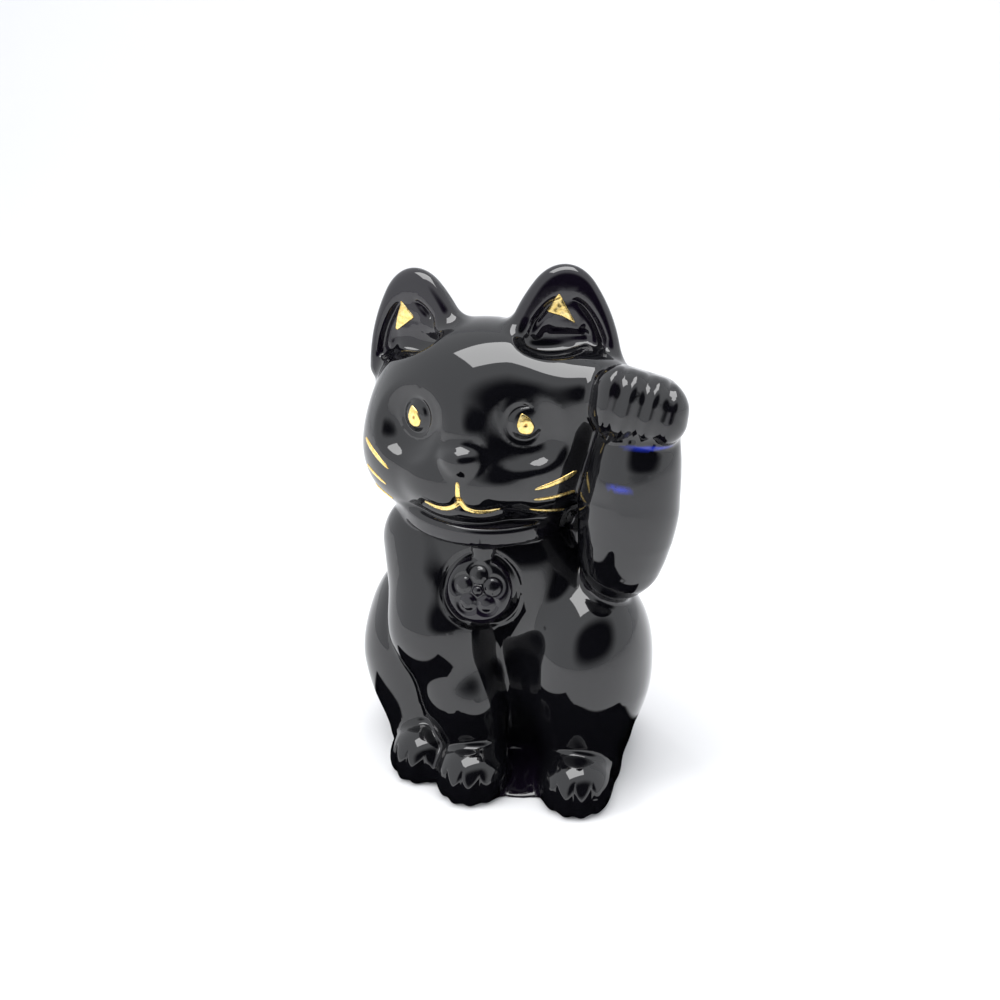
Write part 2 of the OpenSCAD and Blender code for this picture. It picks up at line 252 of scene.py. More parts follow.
@dataclass
class Face:
    """Where the features of the face lie, shared by the sculpted head and by its gold."""

    middle: float = -4.3
    eye_middle: float = -3.8
    eye_gap: float = 20.7
    eye_depth: float = -10.6
    eye_height: float = 73.2
    eye_turn: float = 24.0
    socket: Triple = (7.4, 4.2, 7.0)
    fork: Pair = (-4.4, 58.9)
    philtrum: float = 3.8
    mouth_half: float = 7.2

    def eye(self, side: Side) -> Place:
        """Returns the frame of one eye, looking along -Y."""
        x = self.eye_middle + side.value * self.eye_gap / 2
        return Place((x, self.eye_depth, self.eye_height), (-3, 0, side.value * self.eye_turn))

    def mouth_lines(self) -> list[np.ndarray]:
        """Returns the line under the nose and the two mouth curves, in X and Z."""
        x, z = self.fork
        lines = [np.array([(x, z + self.philtrum), (x, z + self.philtrum / 2), (x, z)])]
        for side in Side:
            reach = side.value * self.mouth_half
            lines.append(curve_points((x, z), (x + reach * 0.3, z - 2.8), (x + reach, z - 1.2), 12))
        return lines


@dataclass
class Head:
    """Skull, cheeks, jaw, muzzle, nose and eyes."""

    face: Face
    skull: Lump = Lump((-4.5, 3.5, 71.0), (23.2, 17.5, 18.6))
    cheek: Triple = (15.1, 13.4, 13.0)
    cheek_at: Triple = (9.0, 0.0, 63.9)
    jaw: Lump = Lump((-4.3, -2.0, 60.0), (14.5, 12.4, 7.2))
    chin: Lump = Lump((-4.3, -11.0, 57.0), (6.4, 4.2, 3.2))
    bridge: Lump = Lump((-4.3, -10.7, 70.6), (3.4, 3.6, 4.0))
    nose: Lump = Lump((-4.4, -13.3, 66.8), (4.3, 3.9, 2.6))
    nose_tip: Lump = Lump((-4.4, -13.6, 65.4), (2.8, 3.2, 2.2))
    pad: Lump = Lump((4.4, -11.9, 61.8), (5.8, 4.0, 4.0))
    # Widths of the fillets between the lumps, in mm
    melt: float = 5.0
    pad_melt: float = 4.0
    chin_melt: float = 3.0
    bridge_melt: float = 3.0
    nose_melt: float = 2.4
    snout_melt: float = 1.4
    ball_melt: float = 1.4
    # The eye in its own frame: how deep the socket's middle lies, the ball and the ring of the lid
    socket_at: Triple = (0.0, -3.2, -0.6)
    socket_edge: float = 2.2
    ball: Lump = Lump((0.0, 2.0, 0.0), (4.8, 2.6, 4.8))
    ring_radius: float = 3.1
    ring_line: Pair = (0.22, 1.1)
    mouth_line: Pair = (0.1, 1.6)

    def distance(self, points: np.ndarray) -> np.ndarray:
        """Returns the distance of each point from the head, ears not included."""
        middle = self.face.middle
        body = self.skull.distance(points)
        for side in Side:
            cheek = Lump((middle + side.value * self.cheek_at[0], *self.cheek_at[1:]), self.cheek)
            body = soft_union(body, cheek.distance(points), self.melt)
        body = soft_union(body, self.jaw.distance(points), self.melt)
        for side in Side:
            pad = Lump((middle + side.value * self.pad.at[0], *self.pad.at[1:]), self.pad.half)
            body = soft_union(body, pad.distance(points), self.pad_melt)
        body = soft_union(body, self.chin.distance(points), self.chin_melt)
        snout = soft_union(self.nose.distance(points), self.nose_tip.distance(points), self.nose_melt)
        body = soft_union(body, self.bridge.distance(points), self.bridge_melt)
        body = soft_union(body, snout, self.snout_melt)
        body = self.cut_mouth(points, body)
        for side in Side:
            body = self.set_eye(points, body, side)
        return body

    def cut_mouth(self, points: np.ndarray, body: np.ndarray) -> np.ndarray:
        """Presses the mouth curves into the front of the muzzle.

        Args:
            points: Where to measure, in mm.
            body: Distances to the head without its mouth.

        Returns:
            Distances to the head with its mouth.
        """
        behind = np.maximum(points[..., 1] + 6, 0)
        for line in self.face.mouth_lines()[1:]:
            lateral = near_polyline(points[..., 0], points[..., 2], line)
            body = groove(body, lateral + behind, *self.mouth_line)
        return body

    def set_eye(self, points: np.ndarray, body: np.ndarray, side: Side) -> np.ndarray:
        """Hollows a socket and sets the round eye with its raised lid ring in it.

        Args:
            points: Where to measure, in mm.
            body: Distances to the head so far.
            side: Which eye.

        Returns:
            Distances to the head with that eye.
        """
        local = self.face.eye(side).local(points)
        from_axis = np.hypot(local[..., 0], local[..., 2])
        socket = Lump(self.socket_at, self.face.socket).distance(local)
        body = soft_cut(body, socket, self.socket_edge)
        body = soft_union(body, self.ball.distance(local), self.ball_melt)
        behind = np.maximum(local[..., 1] - 3, 0)
        return groove(body, np.abs(from_axis - self.ring_radius) + behind, *self.ring_line)


@dataclass
class Ears:
    """Two ears shaped as pointed arches, hollow in front, with an inner ridge and a pad for the gold."""

    height: float = 24.0
    half_width: float = 11.6
    half_thick: float = 3.2
    thinning: float = 0.32
    edge: float = 2.2
    root: float = 77.0
    rim: float = 3.4
    # How far the hollow lies towards the outside, its depth, its foot, and how far it ends below the tip
    outwards: float = 0.5
    cup_depth: float = 1.6
    cup_up: float = 2.6
    cup_floor: float = 4.4
    cup_short: float = 9.6
    # The ridge in the hollow, within its outline
    ridge_in: float = 2.2
    ridge_up: float = 4.2
    ridge_floor: float = 7.0
    ridge_short: float = 13.2
    ridge_radius: float = 0.62
    # The pad for the gold: its foot, half width, height and half thickness
    pad_up: float = 9.6
    pad_size: Triple = (3.1, 6.6, 0.7)
    # The dip of the crown in front of the ear, in the ear's frame
    dish_at: Triple = (-2.4, -4.6, 7.2)
    dish: Triple = (5.0, 3.2, 2.4)
    dish_edge: float = 2.6

    def place(self, side: Side) -> Place:
        """Returns the frame of one ear: X across, Z up the ear, -Y to its front."""
        if side is Side.RIGHT:
            return Place((-17.2, 3.0, 77.0), (-3, -8, -12))
        return Place((9.9, 3.0, 78.4), (-3, 2, 12))

    def distance(self, points: np.ndarray) -> np.ndarray:
        """Returns the distance of each point from the two ears."""
        return np.minimum(*[self.one_ear(points, side) for side in Side])

    def hollow_feet(self, points: np.ndarray, body: np.ndarray) -> np.ndarray:
        """Hollows the crown in front of each ear.

        Args:
            points: Where to measure, in mm.
            body: Distances to the casting with its ears.

        Returns:
            Distances to the casting with its hollows.
        """
        for side in Side:
            at = (side.value * self.dish_at[0], *self.dish_at[1:])
            dish = Lump(at, self.dish).distance(self.place(side).local(points))
            body = soft_cut(body, dish, self.dish_edge)
        return body

    def one_ear(self, points: np.ndarray, side: Side) -> np.ndarray:
        """Measures from one ear.

        Args:
            points: Where to measure, in mm.
            side: Which ear.

        Returns:
            Distance of each point from that ear.
        """
        local = self.place(side).local(points)
        across, depth, up = local[..., 0], local[..., 1], local[..., 2]
        thick = self.half_thick * (1 - self.thinning * np.clip(up / self.height, 0, 1))
        outline = pointed_arch(across, up, self.half_width, self.height, 8.0)
        body = rounded_slab(outline, depth, thick, self.edge)
        inner = across - side.value * self.outwards
        front = -(thick - self.cup_depth)
        width = self.half_width - self.rim
        cup = pointed_arch(inner, up - self.cup_up, width, self.height - self.cup_short, 5.0)
        cup = soft_common(soft_common(cup, self.cup_floor - up, 2.5), depth - front, 0.9)
        body = soft_cut(body, cup, 1.3)
        width = width - self.ridge_in
        line = pointed_arch(inner, up - self.ridge_up, width, self.height - self.ridge_short, 4.0)
        ridge = soft_common(np.hypot(line, depth - front) - self.ridge_radius, self.ridge_floor - up, 1.0)
        body = soft_union(body, ridge, 0.9)
        half_width, height, half_thick = self.pad_size
        pad = pointed_arch(inner, up - self.pad_up, half_width, height, 1.6)
        pad = rounded_slab(soft_common(pad, self.pad_up - up, 1.2), depth - front, half_thick, 0.6)
        return soft_common(soft_union(body, pad, 1.6), self.root - points[..., 2], 2.0)


@dataclass
class Trunk:
    """Seat and chest, with the glass that fills in between the feet down to the ground."""

    seat: Lump = Lump((0.0, 8.0, 20.0), (23.0, 18.0, 25.0))
    chest: Lump = Lump((-3.0, 2.0, 42.0), (20.5, 15.6, 16.0))
    plinth: Lump = Lump((3.5, -2.0, 0.0), (19.0, 18.2, 2.2))
    chest_melt: float = 6.0
    plinth_melt: float = 5.0

    def distance(self, points: np.ndarray) -> np.ndarray:
        """Returns the distance of each point from seat, chest and plinth."""
        body = soft_union(self.seat.distance(points), self.chest.distance(points), self.chest_melt)
        return soft_union(body, self.plinth.distance(points), self.plinth_melt)


@dataclass
class Foot:
    """One foot with four toes parted by pressed lines."""

    at: Triple
    turn: float
    half: Triple = (7.3, 8.8, 6.8)
    toe_pitch: float = 3.4
    toe_line: float = 0.3

    def distance(self, points: np.ndarray) -> np.ndarray:
        """Returns the distance of each point from the foot."""
        local = Place(self.at, (0, 0, self.turn)).local(points)
        body = Lump((0, 0, 3.3), self.half).distance(local)
        for toe in (-1, 0, 1):
            lateral = np.abs(local[..., 0] - toe * (self.toe_pitch + 0.08 * (local[..., 1] + 6)))
            behind = np.maximum(local[..., 1] + 6.6, 0) * 0.5 + np.maximum(local[..., 2] - 4.4, 0) * 0.4
            body = groove(body, lateral + behind, self.toe_line, 1.6)
        return body


@dataclass
class Legs:
    """Haunches, hind legs, the standing foreleg and the three feet."""

    right_haunch: Lump = Lump((-19.8, 5.0, 20.2), (11.4, 16.0, 19.0))
    left_haunch: Lump = Lump((17.6, -4.0, 25.0), (12.0, 14.0, 16.8), (-10, 8, 0))
    left_rump: Lump = Lump((18.5, 6.0, 18.0), (11.0, 14.5, 19.0))
    right_shin: tuple = (((-17.6, -2, 20), 10.0), ((-14.8, -7, 6), 7.8))
    left_shin: tuple = (((18.0, -6, 18), 9.5), ((18.4, -9.5, 6), 7.2))
    foreleg: tuple = (((-14.6, -2, 46), 9.8), ((-10.4, -10.2, 31), 9.2),
                      ((-5.2, -12.0, 17), 7.2), ((-2.6, -12.6, 7), 6.4))
    feet: tuple = (Foot((-12.6, -13.0, 0.0), -14), Foot((-1.8, -17.2, 0.0), 0), Foot((18.6, -15.4, 0.0), 8))
    # Widths of the fillets, in mm: haunch to shin, left and right leg to trunk, foreleg, and feet
    hock_melt: float = 5.0
    left_melt: float = 7.0
    right_melt: float = 3.0
    foreleg_melt: float = 2.2
    foot_melt: float = 1.4

    def join(self, points: np.ndarray, body: np.ndarray) -> np.ndarray:
        """Sets the legs and feet on the trunk.

        Args:
            points: Where to measure, in mm.
            body: Distances to the trunk.

        Returns:
            Distances to the trunk with its legs.
        """
        pairs = ((self.right_haunch, self.right_shin), (self.left_haunch, self.left_shin))
        right, left = (soft_union(haunch.distance(points), limb(points, shin, 3.0), self.hock_melt)
                       for haunch, shin in pairs)
        left = soft_union(left, self.left_rump.distance(points), self.left_melt)
        body = soft_union(soft_union(body, left, self.left_melt), right, self.right_melt)
        body = soft_union(body, limb(points, self.foreleg, 4.5), self.foreleg_melt)
        for foot in self.feet:
            body = soft_union(body, foot.distance(points), self.foot_melt)
        return body


@dataclass
class RaisedArm:
    """The left arm: elbow out, forearm up, and the paw bent forward beside the head."""

    stations: tuple = (((22.6, -5, 43), 4.8), ((24.4, -8, 48), 6.2), ((25.2, -8.8, 54), 7.2),
                       ((25.7, -9, 60), 7.6), ((26.5, -9, 67), 6.6), ((27.2, -7.4, 75), 6.5))
    paw: Place = Place((26.9, -10.4, 77.4), (-8, 6, 6))
    paw_half: Triple = (8.4, 7.0, 6.3)
    paw_edge: float = 5.4
    # How much the top of the paw falls from the thumb's side outwards, per mm
    paw_fall: float = 0.16
    bridge: Lump = Lump((16.5, -0.4, 77.6), (9.0, 8.6, 6.4))
    web: tuple = (((17.5, 1, 50), 4.5), ((20.5, 3, 66), 4.5), ((20.5, 2, 76), 5.0))
    # Lines between the fingers: place across the paw, in mm
    finger_lines: tuple[float, ...] = (-3.9, 0.1, 3.9)
    finger_lean: float = 0.12
    finger_line: Pair = (0.65, 1.8)

    def distance(self, points: np.ndarray) -> np.ndarray:
        """Returns the distance of each point from the raised arm."""
        body = limb(points, self.stations, 5.0)
        local = self.paw.local(points)
        upper = np.clip(local[..., 2] / self.paw_half[2], -1, 1) / 2 + 0.5
        local[..., 2] += self.paw_fall * local[..., 0] * upper
        paw = rounded_box(local, self.paw_half, self.paw_edge)
        for line in self.finger_lines:
            lateral = np.abs(local[..., 0] - line - self.finger_lean * local[..., 2])
            past_end = np.maximum(local[..., 1] + 5.2, 0) * 0.3 + np.maximum(-5.2 - local[..., 2], 0) * 0.6
            paw = groove(paw, lateral + past_end, *self.finger_line)
        body = soft_union(body, paw, 1.2)
        return soft_union(body, limb(points, self.web, 2.0), 2.0)


@dataclass
class Collar:
    """A tilted band in relief under the head."""

    place: Place = Place((-3.7, 0.8, 55.0), (11, 3, 0))
    radius: float = 17.3
    half_width: float = 2.1

    def distance(self, points: np.ndarray) -> np.ndarray:
        """Returns the distance of each point from the band."""
        local = self.place.local(points)
        around = np.hypot(local[..., 0] / 1.02, local[..., 1] / 0.97)
        return rounded_slab(np.abs(around - self.radius + 3) - 3, local[..., 2], self.half_width, 1.3)


@dataclass
class Medallion:
    """A round pendant on the chest with a plain plum blossom, a rim groove and its bail."""

    place: Place = Place((-0.9, -15.2, 41.6), (-18, 0, 4))
    radius: float = 6.4
    half_thick: float = 1.3
    petals: int = 5
    petal_ring: float = 2.9
    petal_radius: float = 1.75
    petal_line: Pair = (0.16, 1.0)
    rim_gap: float = 0.7
    rim_line: Pair = (0.15, 1.4)

    def join(self, points: np.ndarray, body: np.ndarray) -> np.ndarray:
        """Sets the pendant on the chest.

        Args:
            points: Where to measure, in mm.
            body: Distances to the casting without the pendant.

        Returns:
            Distances to the casting with it.
        """
        local = self.place.local(points)
        across, depth, up = local[..., 0], local[..., 1], local[..., 2]
        from_axis = np.hypot(across, up)
        behind = np.maximum(depth - 8, 0)
        body = groove(body, np.abs(from_axis - self.radius - self.rim_gap) + behind, *self.rim_line)
        disc = rounded_slab(from_axis - self.radius, depth, self.half_thick, 0.9)
        dome = Lump((0, 4.6, 0), (self.radius * 1.5, 6.3, self.radius * 1.5)).distance(local)
        disc = soft_common(disc, dome, 1.0)
        blossom = np.full(across.shape, 1e3, np.float32)
        for petal in range(self.petals):
            angle = math.tau * (petal / self.petals + 0.25)
            px, pz = self.petal_ring * math.cos(angle), self.petal_ring * math.sin(angle)
            blossom = np.minimum(blossom, np.abs(np.hypot(across - px, up - pz) - self.petal_radius))
        disc = groove(disc, blossom + np.maximum(depth + 0.4, 0), *self.petal_line)
        stamen = Lump((0, -self.half_thick, 0), (0.8, 0.5, 0.8)).distance(local)
        disc = soft_union(disc, stamen, 0.6)
        bail = Lump((0.3, 0.2, self.radius + 1.6), (2.2, 1.5, 2.6)).distance(local)
        return soft_union(soft_union(body, disc, 0.8), bail, 1.0)


@dataclass
class Tail:
    """A short tail curled up against the back."""

    stations: tuple = (((-3, 20.6, 5.2), 4.6), ((6, 21.3, 5.4), 4.7),
                       ((12.2, 20.4, 9.4), 4.5), ((12.6, 19.0, 16), 3.6))

    def distance(self, points: np.ndarray) -> np.ndarray:
        """Returns the distance of each point from the tail."""
        return limb(points, self.stations, 3.0)


@dataclass
class Casting:
    """The whole pressed casting as one distance field."""

    face: Face = field(default_factory=Face)
    trunk: Trunk = field(default_factory=Trunk)
    legs: Legs = field(default_factory=Legs)
    arm: RaisedArm = field(default_factory=RaisedArm)
    ears: Ears = field(default_factory=Ears)
    collar: Collar = field(default_factory=Collar)
    medallion: Medallion = field(default_factory=Medallion)
    tail: Tail = field(default_factory=Tail)
    # Widths of the fillets where the parts meet, in mm
    temple_melt: float = 8.0
    neck_melt: float = 1.4
    ear_melt: float = 2.6
    arm_melt: float = 2.0
    relief_melt: float = 1.2
    ground_edge: float = 0.7
    low: Triple = (-34.0, -28.0, -1.6)
    high: Triple = (38.0, 28.0, 103.0)

    def distance(self, points: np.ndarray) -> np.ndarray:
        """Returns the distance of each point from the casting, flat on the ground."""
        points = np.asarray(points, np.float32)
        body = self.legs.join(points, self.trunk.distance(points))
        head = Head(self.face).distance(points)
        head = soft_union(head, self.arm.bridge.distance(points), self.temple_melt)
        body = soft_union(body, head, self.neck_melt)
        body = self.ears.hollow_feet(points, soft_union(body, self.ears.distance(points), self.ear_melt))
        body = soft_union(body, self.tail.distance(points), self.relief_melt)
        body = soft_union(body, self.arm.distance(points), self.arm_melt)
        body = soft_union(body, self.collar.distance(points), self.relief_melt)
        body = self.medallion.join(points, body)
        return soft_common(body, -points[..., 2], self.ground_edge)

    def gradient(self, points: np.ndarray, step: float = 0.06) -> np.ndarray:
        """Returns the outward normal of the field at each point."""
        slopes = []
        for axis in range(3):
            shift = np.zeros(3, np.float32)
            shift[axis] = step
            slopes.append(self.distance(points + shift) - self.distance(points - shift))
        normal = np.stack(slopes, -1)
        return normal / np.maximum(np.linalg.norm(normal, axis=-1, keepdims=True), 1e-9)

    def settle(self, points: np.ndarray, rounds: int = 3) -> np.ndarray:
        """Moves points onto the surface.

        Args:
            points: Points near the surface, in mm.
            rounds: How many steps to take.

        Returns:
            The moved points.
        """
        for _ in range(rounds):
            step = np.clip(self.distance(points), -0.5, 0.5)
            points = points - self.gradient(points) * step[:, None]
        return points

    def thinness(self, points: np.ndarray, normals: np.ndarray) -> np.ndarray:
        """Estimates how thin the glass is behind each point.

        Args:
            points: Points on the surface, in mm.
            normals: Outward normals there.

        Returns:
            0 where the glass is thick, towards 1 where it is thin.
        """
        depths = (2.0, 4.0, 6.0, 9.0, 12.0)
        filled = sum(np.clip(-self.distance(points - normals * d) / d, 0, 1) for d in depths)
        return 1 - filled / len(depths)


class SurfaceNet:
    """Meshes a distance field with quads, one vertex in each cell that the surface crosses."""

    def __init__(self, measure: Measure, low: Triple, high: Triple, cell: float) -> None:
        """Samples the field near the surface.

        Args:
            measure: The distance field.
            low: Lowest corner of the grid, in mm.
            high: Highest corner of the grid, in mm.
            cell: Size of a cell, in mm.
        """
        self.cell = cell
        self.low = np.asarray(low, np.float32)
        block = 4
        counts = [int(math.ceil((b - a) / cell / block)) * block for a, b in zip(low, high)]
        self.shape = tuple(n + 1 for n in counts)
        centres = [self.low[k] + (np.arange(counts[k] // block) + 0.5) * cell * block for k in range(3)]
        coarse = np.stack(np.meshgrid(*centres, indexing="ij"), -1)
        rough = self.in_slices(measure, coarse.reshape(-1, 3)).reshape(coarse.shape[:3])
        near = np.abs(rough) < cell * block * 1.6
        values = np.repeat(np.repeat(np.repeat(rough, block, 0), block, 1), block, 2)
        values = np.pad(values, ((0, 1),) * 3, mode="edge").astype(np.float32)
        wanted = np.zeros(self.shape, bool)
        for i, j, k in np.argwhere(near):
            wanted[tuple(slice(n * block, (n + 1) * block + 1) for n in (i, j, k))] = True
        index = np.argwhere(wanted)
        values[wanted] = self.in_slices(measure, self.low + index.astype(np.float32) * cell)
        self.values = values

    @staticmethod
    def in_slices(measure: Measure, points: np.ndarray, size: int = 200_000) -> np.ndarray:
        """Returns the field at many points, a slice at a time."""
        parts = [measure(points[i:i + size]) for i in range(0, len(points), size)]
        return np.concatenate(parts)

    def mesh(self) -> tuple[np.ndarray, np.ndarray]:
        """Builds the quads.

        Returns:
            Vertices in mm, and four vertex numbers for each quad, facing outwards.
        """
        inside = self.values < 0
        corners = [(i, j, k) for i in (0, 1) for j in (0, 1) for k in (0, 1)]
        nx, ny, nz = (n - 1 for n in self.shape)
        count = sum(inside[i:i + nx, j:j + ny, k:k + nz].astype(np.int8) for i, j, k in corners)
        active = np.argwhere((count > 0) & (count < 8))
        number = np.full((nx, ny, nz), -1, np.int64)
        number[tuple(active.T)] = np.arange(len(active))
        total = np.zeros((len(active), 3), np.float32)
        weight = np.zeros(len(active), np.float32)
        for a in corners:
            for axis in range(3):
                if a[axis]:
                    continue
                b = tuple(1 if k == axis else a[k] for k in range(3))
                va = self.values[tuple((active + a).T)]
                vb = self.values[tuple((active + b).T)]
                crosses = (va < 0) != (vb < 0)
                t = np.where(crosses, va / np.where(crosses, va - vb, 1), 0)
                place = np.tile(np.asarray(a, np.float32), (len(active), 1))
                place[:, axis] = t
                total += place * crosses[:, None]
                weight += crosses
        vertices = self.low + (active + total / weight[:, None]) * self.cell
        faces = np.concatenate([self.quads(inside, number, axis) for axis in range(3)])
        return vertices.astype(np.float32), faces

    @staticmethod
    def quads(inside: np.ndarray, number: np.ndarray, axis: int) -> np.ndarray:
        """Joins the four cells around each crossed grid edge along one axis.

        Args:
            inside: Whether each grid corner is in the glass.
            number: Vertex number of each cell, or -1.
            axis: The axis of the edges.

        Returns:
            Four vertex numbers for each quad.
        """
        u, v = (axis + 1) % 3, (axis + 2) % 3
        first = [slice(1, -1)] * 3
        first[axis] = slice(0, -1)
        second = list(first)
        second[axis] = slice(1, None)
        a, b = inside[tuple(first)], inside[tuple(second)]
        result = []
        for enters, order in ((a & ~b, (0, 1, 2, 3)), (~a & b, (3, 2, 1, 0))):
            cells = np.argwhere(enters)
            cells[:, u] += 1
            cells[:, v] += 1
            ring = []
            for du, dv in ((-1, -1), (0, -1), (0, 0), (-1, 0)):
                shifted = cells.copy()
                shifted[:, u] += du
                shifted[:, v] += dv
                ring.append(number[tuple(shifted.T)])
            result.append(np.stack([ring[k] for k in order], -1))
        return np.concatenate(result)


# ---------------------------------------------------------------- from numbers to meshes

def new_object(name: str, mesh: bpy.types.Mesh) -> bpy.types.Object:
    """Returns an object at the origin that shows a mesh."""
    piece = bpy.data.objects.new(name, mesh)
    bpy.context.scene.collection.objects.link(piece)
    return piece


def add_attribute(mesh: bpy.types.Mesh, name: str, values: np.ndarray) -> None:
    """Stores one number for each vertex of a mesh."""
    layer = mesh.attributes.new(name, "FLOAT", "POINT")
    layer.data.foreach_set("value", np.ascontiguousarray(values, np.float32))


def mesh_from(name: str, vertices: np.ndarray, faces: Iterable[Sequence[int]]) -> bpy.types.Mesh:
    """Builds a smooth mesh.

    Args:
        name: Its name.
        vertices: Places in mm.
        faces: Vertex numbers of each face.

    Returns:
        The mesh, in metres.
    """
    mesh = bpy.data.meshes.new(name)
    mesh.from_pydata((vertices * MM).tolist(), [], [tuple(map(int, face)) for face in faces])
    mesh.shade_smooth()
    return mesh


@dataclass
class Sculptor:
    """Turns a casting's distance field into a mesh that is fine where the surface bends."""

    casting: Casting
    cell: float = 0.9
    bends: tuple[float, ...] = (16.0, 18.0)
    relax_rounds: int = 4

    def build(self, name: str) -> bpy.types.Mesh:
        """Returns the finished mesh with its normals and its thinness."""
        net = SurfaceNet(self.casting.distance, self.casting.low, self.casting.high, self.cell)
        vertices, quads = net.mesh()
        vertices = self.casting.settle(vertices)
        vertices, faces = self.relaxed(vertices, [tuple(quad) for quad in quads.tolist()])
        for bend in self.bends:
            vertices, faces = self.refined(vertices, faces, bend)
        normals = self.casting.gradient(vertices)
        mesh = mesh_from(name, vertices, faces)
        mesh.normals_split_custom_set_from_vertices(normals)
        add_attribute(mesh, "thin", self.casting.thinness(vertices, normals))
        log.info("%s: %d vertices, %d faces", name, len(vertices), len(faces))
        return mesh

    def relaxed(self, vertices: np.ndarray, faces: list[tuple[int, ...]]) -> tuple[np.ndarray, list]:
        """Evens out the vertices along the surface.

        Args:
            vertices: Places in mm, on the surface.
            faces: Vertex numbers of each face.

        Returns:
            The moved vertices and the same faces.
        """
        pairs = np.array([(a, b) for face in faces for a, b in zip(face, face[1:] + face[:1])])
        degree = np.bincount(pairs[:, 0], minlength=len(vertices))[:, None]
        for _ in range(self.relax_rounds):
            sums = [np.bincount(pairs[:, 0], vertices[pairs[:, 1], k], len(vertices)) for k in range(3)]
            total = np.stack(sums, -1)
            pull = total / np.maximum(degree, 1) - vertices
            normals = self.casting.gradient(vertices)
            pull -= normals * np.sum(pull * normals, -1, keepdims=True)
            vertices = self.casting.settle((vertices + 0.5 * pull).astype(np.float32), 1)
        return self.casting.settle(vertices, 2), faces

    def refined(self, vertices: np.ndarray, faces: list[tuple[int, ...]],
                bend: float) -> tuple[np.ndarray, list]:
        """Divides the faces whose corners point in different directions.

        Args:
            vertices: Places in mm.
            faces: Vertex numbers of each face.
            bend: Angle between two corners' normals above which a face is divided, in degrees.

        Returns:
            The new vertices, on the surface, and the new faces.
        """
        normals = self.casting.gradient(vertices)
        work = bmesh.new()
        points = [work.verts.new(v) for v in vertices.tolist()]
        for face in faces:
            work.faces.new([points[k] for k in face])
        work.verts.index_update()
        limit = math.cos(math.radians(bend))
        marked = set()
        for face in work.faces:
            corner = normals[[v.index for v in face.verts]]
            if float((corner @ corner.T).min()) < limit:
                marked.update(face.edges)
        bmesh.ops.subdivide_edges(work, edges=list(marked), cuts=1, use_grid_fill=True)
        work.verts.index_update()
        places = np.array([v.co for v in work.verts], np.float32)
        result = [tuple(v.index for v in face.verts) for face in work.faces]
        work.free()
        return self.casting.settle(places), result


# ---------------------------------------------------------------- node trees

class Wire:
    """A number that changes over a surface; maths on it adds Math nodes."""

    def __init__(self, tree: "Tree", socket: bpy.types.NodeSocket) -> None:
        """Wraps a node's output socket."""
        self.tree, self.socket = tree, socket

    def maths(self, operation: str, *numbers: Any) -> "Wire":
        """Adds one Math node.

        Args:
            operation: The node's operation.
            numbers: Its inputs, as wires or plain numbers.

        Returns:
            The result.
        """
        return self.tree.wire("ShaderNodeMath", 0, {"operation": operation}, dict(enumerate(numbers)))

    def __add__(self, other: Any) -> "Wire":
        """Adds."""
        return self.maths("ADD", self, other)

    def __sub__(self, other: Any) -> "Wire":
        """Subtracts."""
        return self.maths("SUBTRACT", self, other)

    def __rsub__(self, other: Any) -> "Wire":
        """Subtracts from a number."""
        return self.maths("SUBTRACT", other, self)

    def __mul__(self, other: Any) -> "Wire":
        """Multiplies."""
        return self.maths("MULTIPLY", self, other)

    __radd__, __rmul__ = __add__, __mul__

    def between(self, low: float, high: float) -> "Wire":
        """Returns 0 below low, 1 above high and a smooth step in between."""
        return self.tree.wire("ShaderNodeMapRange", 0, {"interpolation_type": "SMOOTHSTEP"},
                              {"Value": self, "From Min": low, "From Max": high})


class Tree:
    """A node tree of any kind, with short ways to add and join its nodes."""

    def __init__(self, nodes: bpy.types.NodeTree) -> None:
        """Starts with an empty tree."""
        self.tree = nodes
        nodes.nodes.clear()

    def plug(self, node: bpy.types.Node, values: dict[Any, Any]) -> None:
        """Sets or links a node's inputs.

        Args:
            node: The node.
            values: For each input socket, by name or number, a value, a wire or a socket.
        """
        for name, value in values.items():
            if isinstance(value, Wire):
                value = value.socket
            if isinstance(value, bpy.types.NodeSocket):
                self.tree.links.new(value, node.inputs[name])
            else:
                node.inputs[name].default_value = value

    def add(self, kind: str, settings: dict[str, Any] | None = None,
            values: dict[Any, Any] | None = None) -> bpy.types.Node:
        """Adds a node.

        Args:
            kind: The node's type.
            settings: Its properties, which are set first.
            values: What its inputs are set or linked to.

        Returns:
            The node.
        """
        node = self.tree.nodes.new(kind)
        for name, value in (settings or {}).items():
            setattr(node, name, value)
        self.plug(node, values or {})
        return node

    def wire(self, kind: str, output: Any = 0, settings: dict[str, Any] | None = None,
             values: dict[Any, Any] | None = None) -> Wire:
        """Adds a node and returns one of its outputs as a wire."""
        return Wire(self, self.add(kind, settings, values).outputs[output])

    def attribute(self, name: str) -> Wire:
        """Returns a number stored on the mesh."""
        return self.wire("ShaderNodeAttribute", "Fac", {"attribute_name": name})

    def noise(self, scale: float, detail: float = 2.0, roughness: float = 0.5) -> Wire:
        """Returns a noise fixed to the object, between 0 and 1.

        Args:
            scale: Features per metre.
            detail: How many finer layers there are.
            roughness: Strength of the finer layers.

        Returns:
            The noise.
        """
        place = self.add("ShaderNodeTexCoord").outputs["Object"]
        return self.wire("ShaderNodeTexNoise", "Fac", None,
                         {"Vector": place, "Scale": scale, "Detail": detail, "Roughness": roughness})

    def bump(self, height: Wire, strength: float, distance: float) -> bpy.types.NodeSocket:
        """Returns a normal that follows a height."""
        values = {"Strength": strength, "Distance": distance, "Height": height}
        return self.add("ShaderNodeBump", None, values).outputs[0]

    def mix_colours(self, amount: Any, a: Any, b: Any) -> bpy.types.NodeSocket:
        """Returns a colour between two colours."""
        return self.add("ShaderNodeMix", {"data_type": "RGBA"}, {0: amount, 6: a, 7: b}).outputs[2]


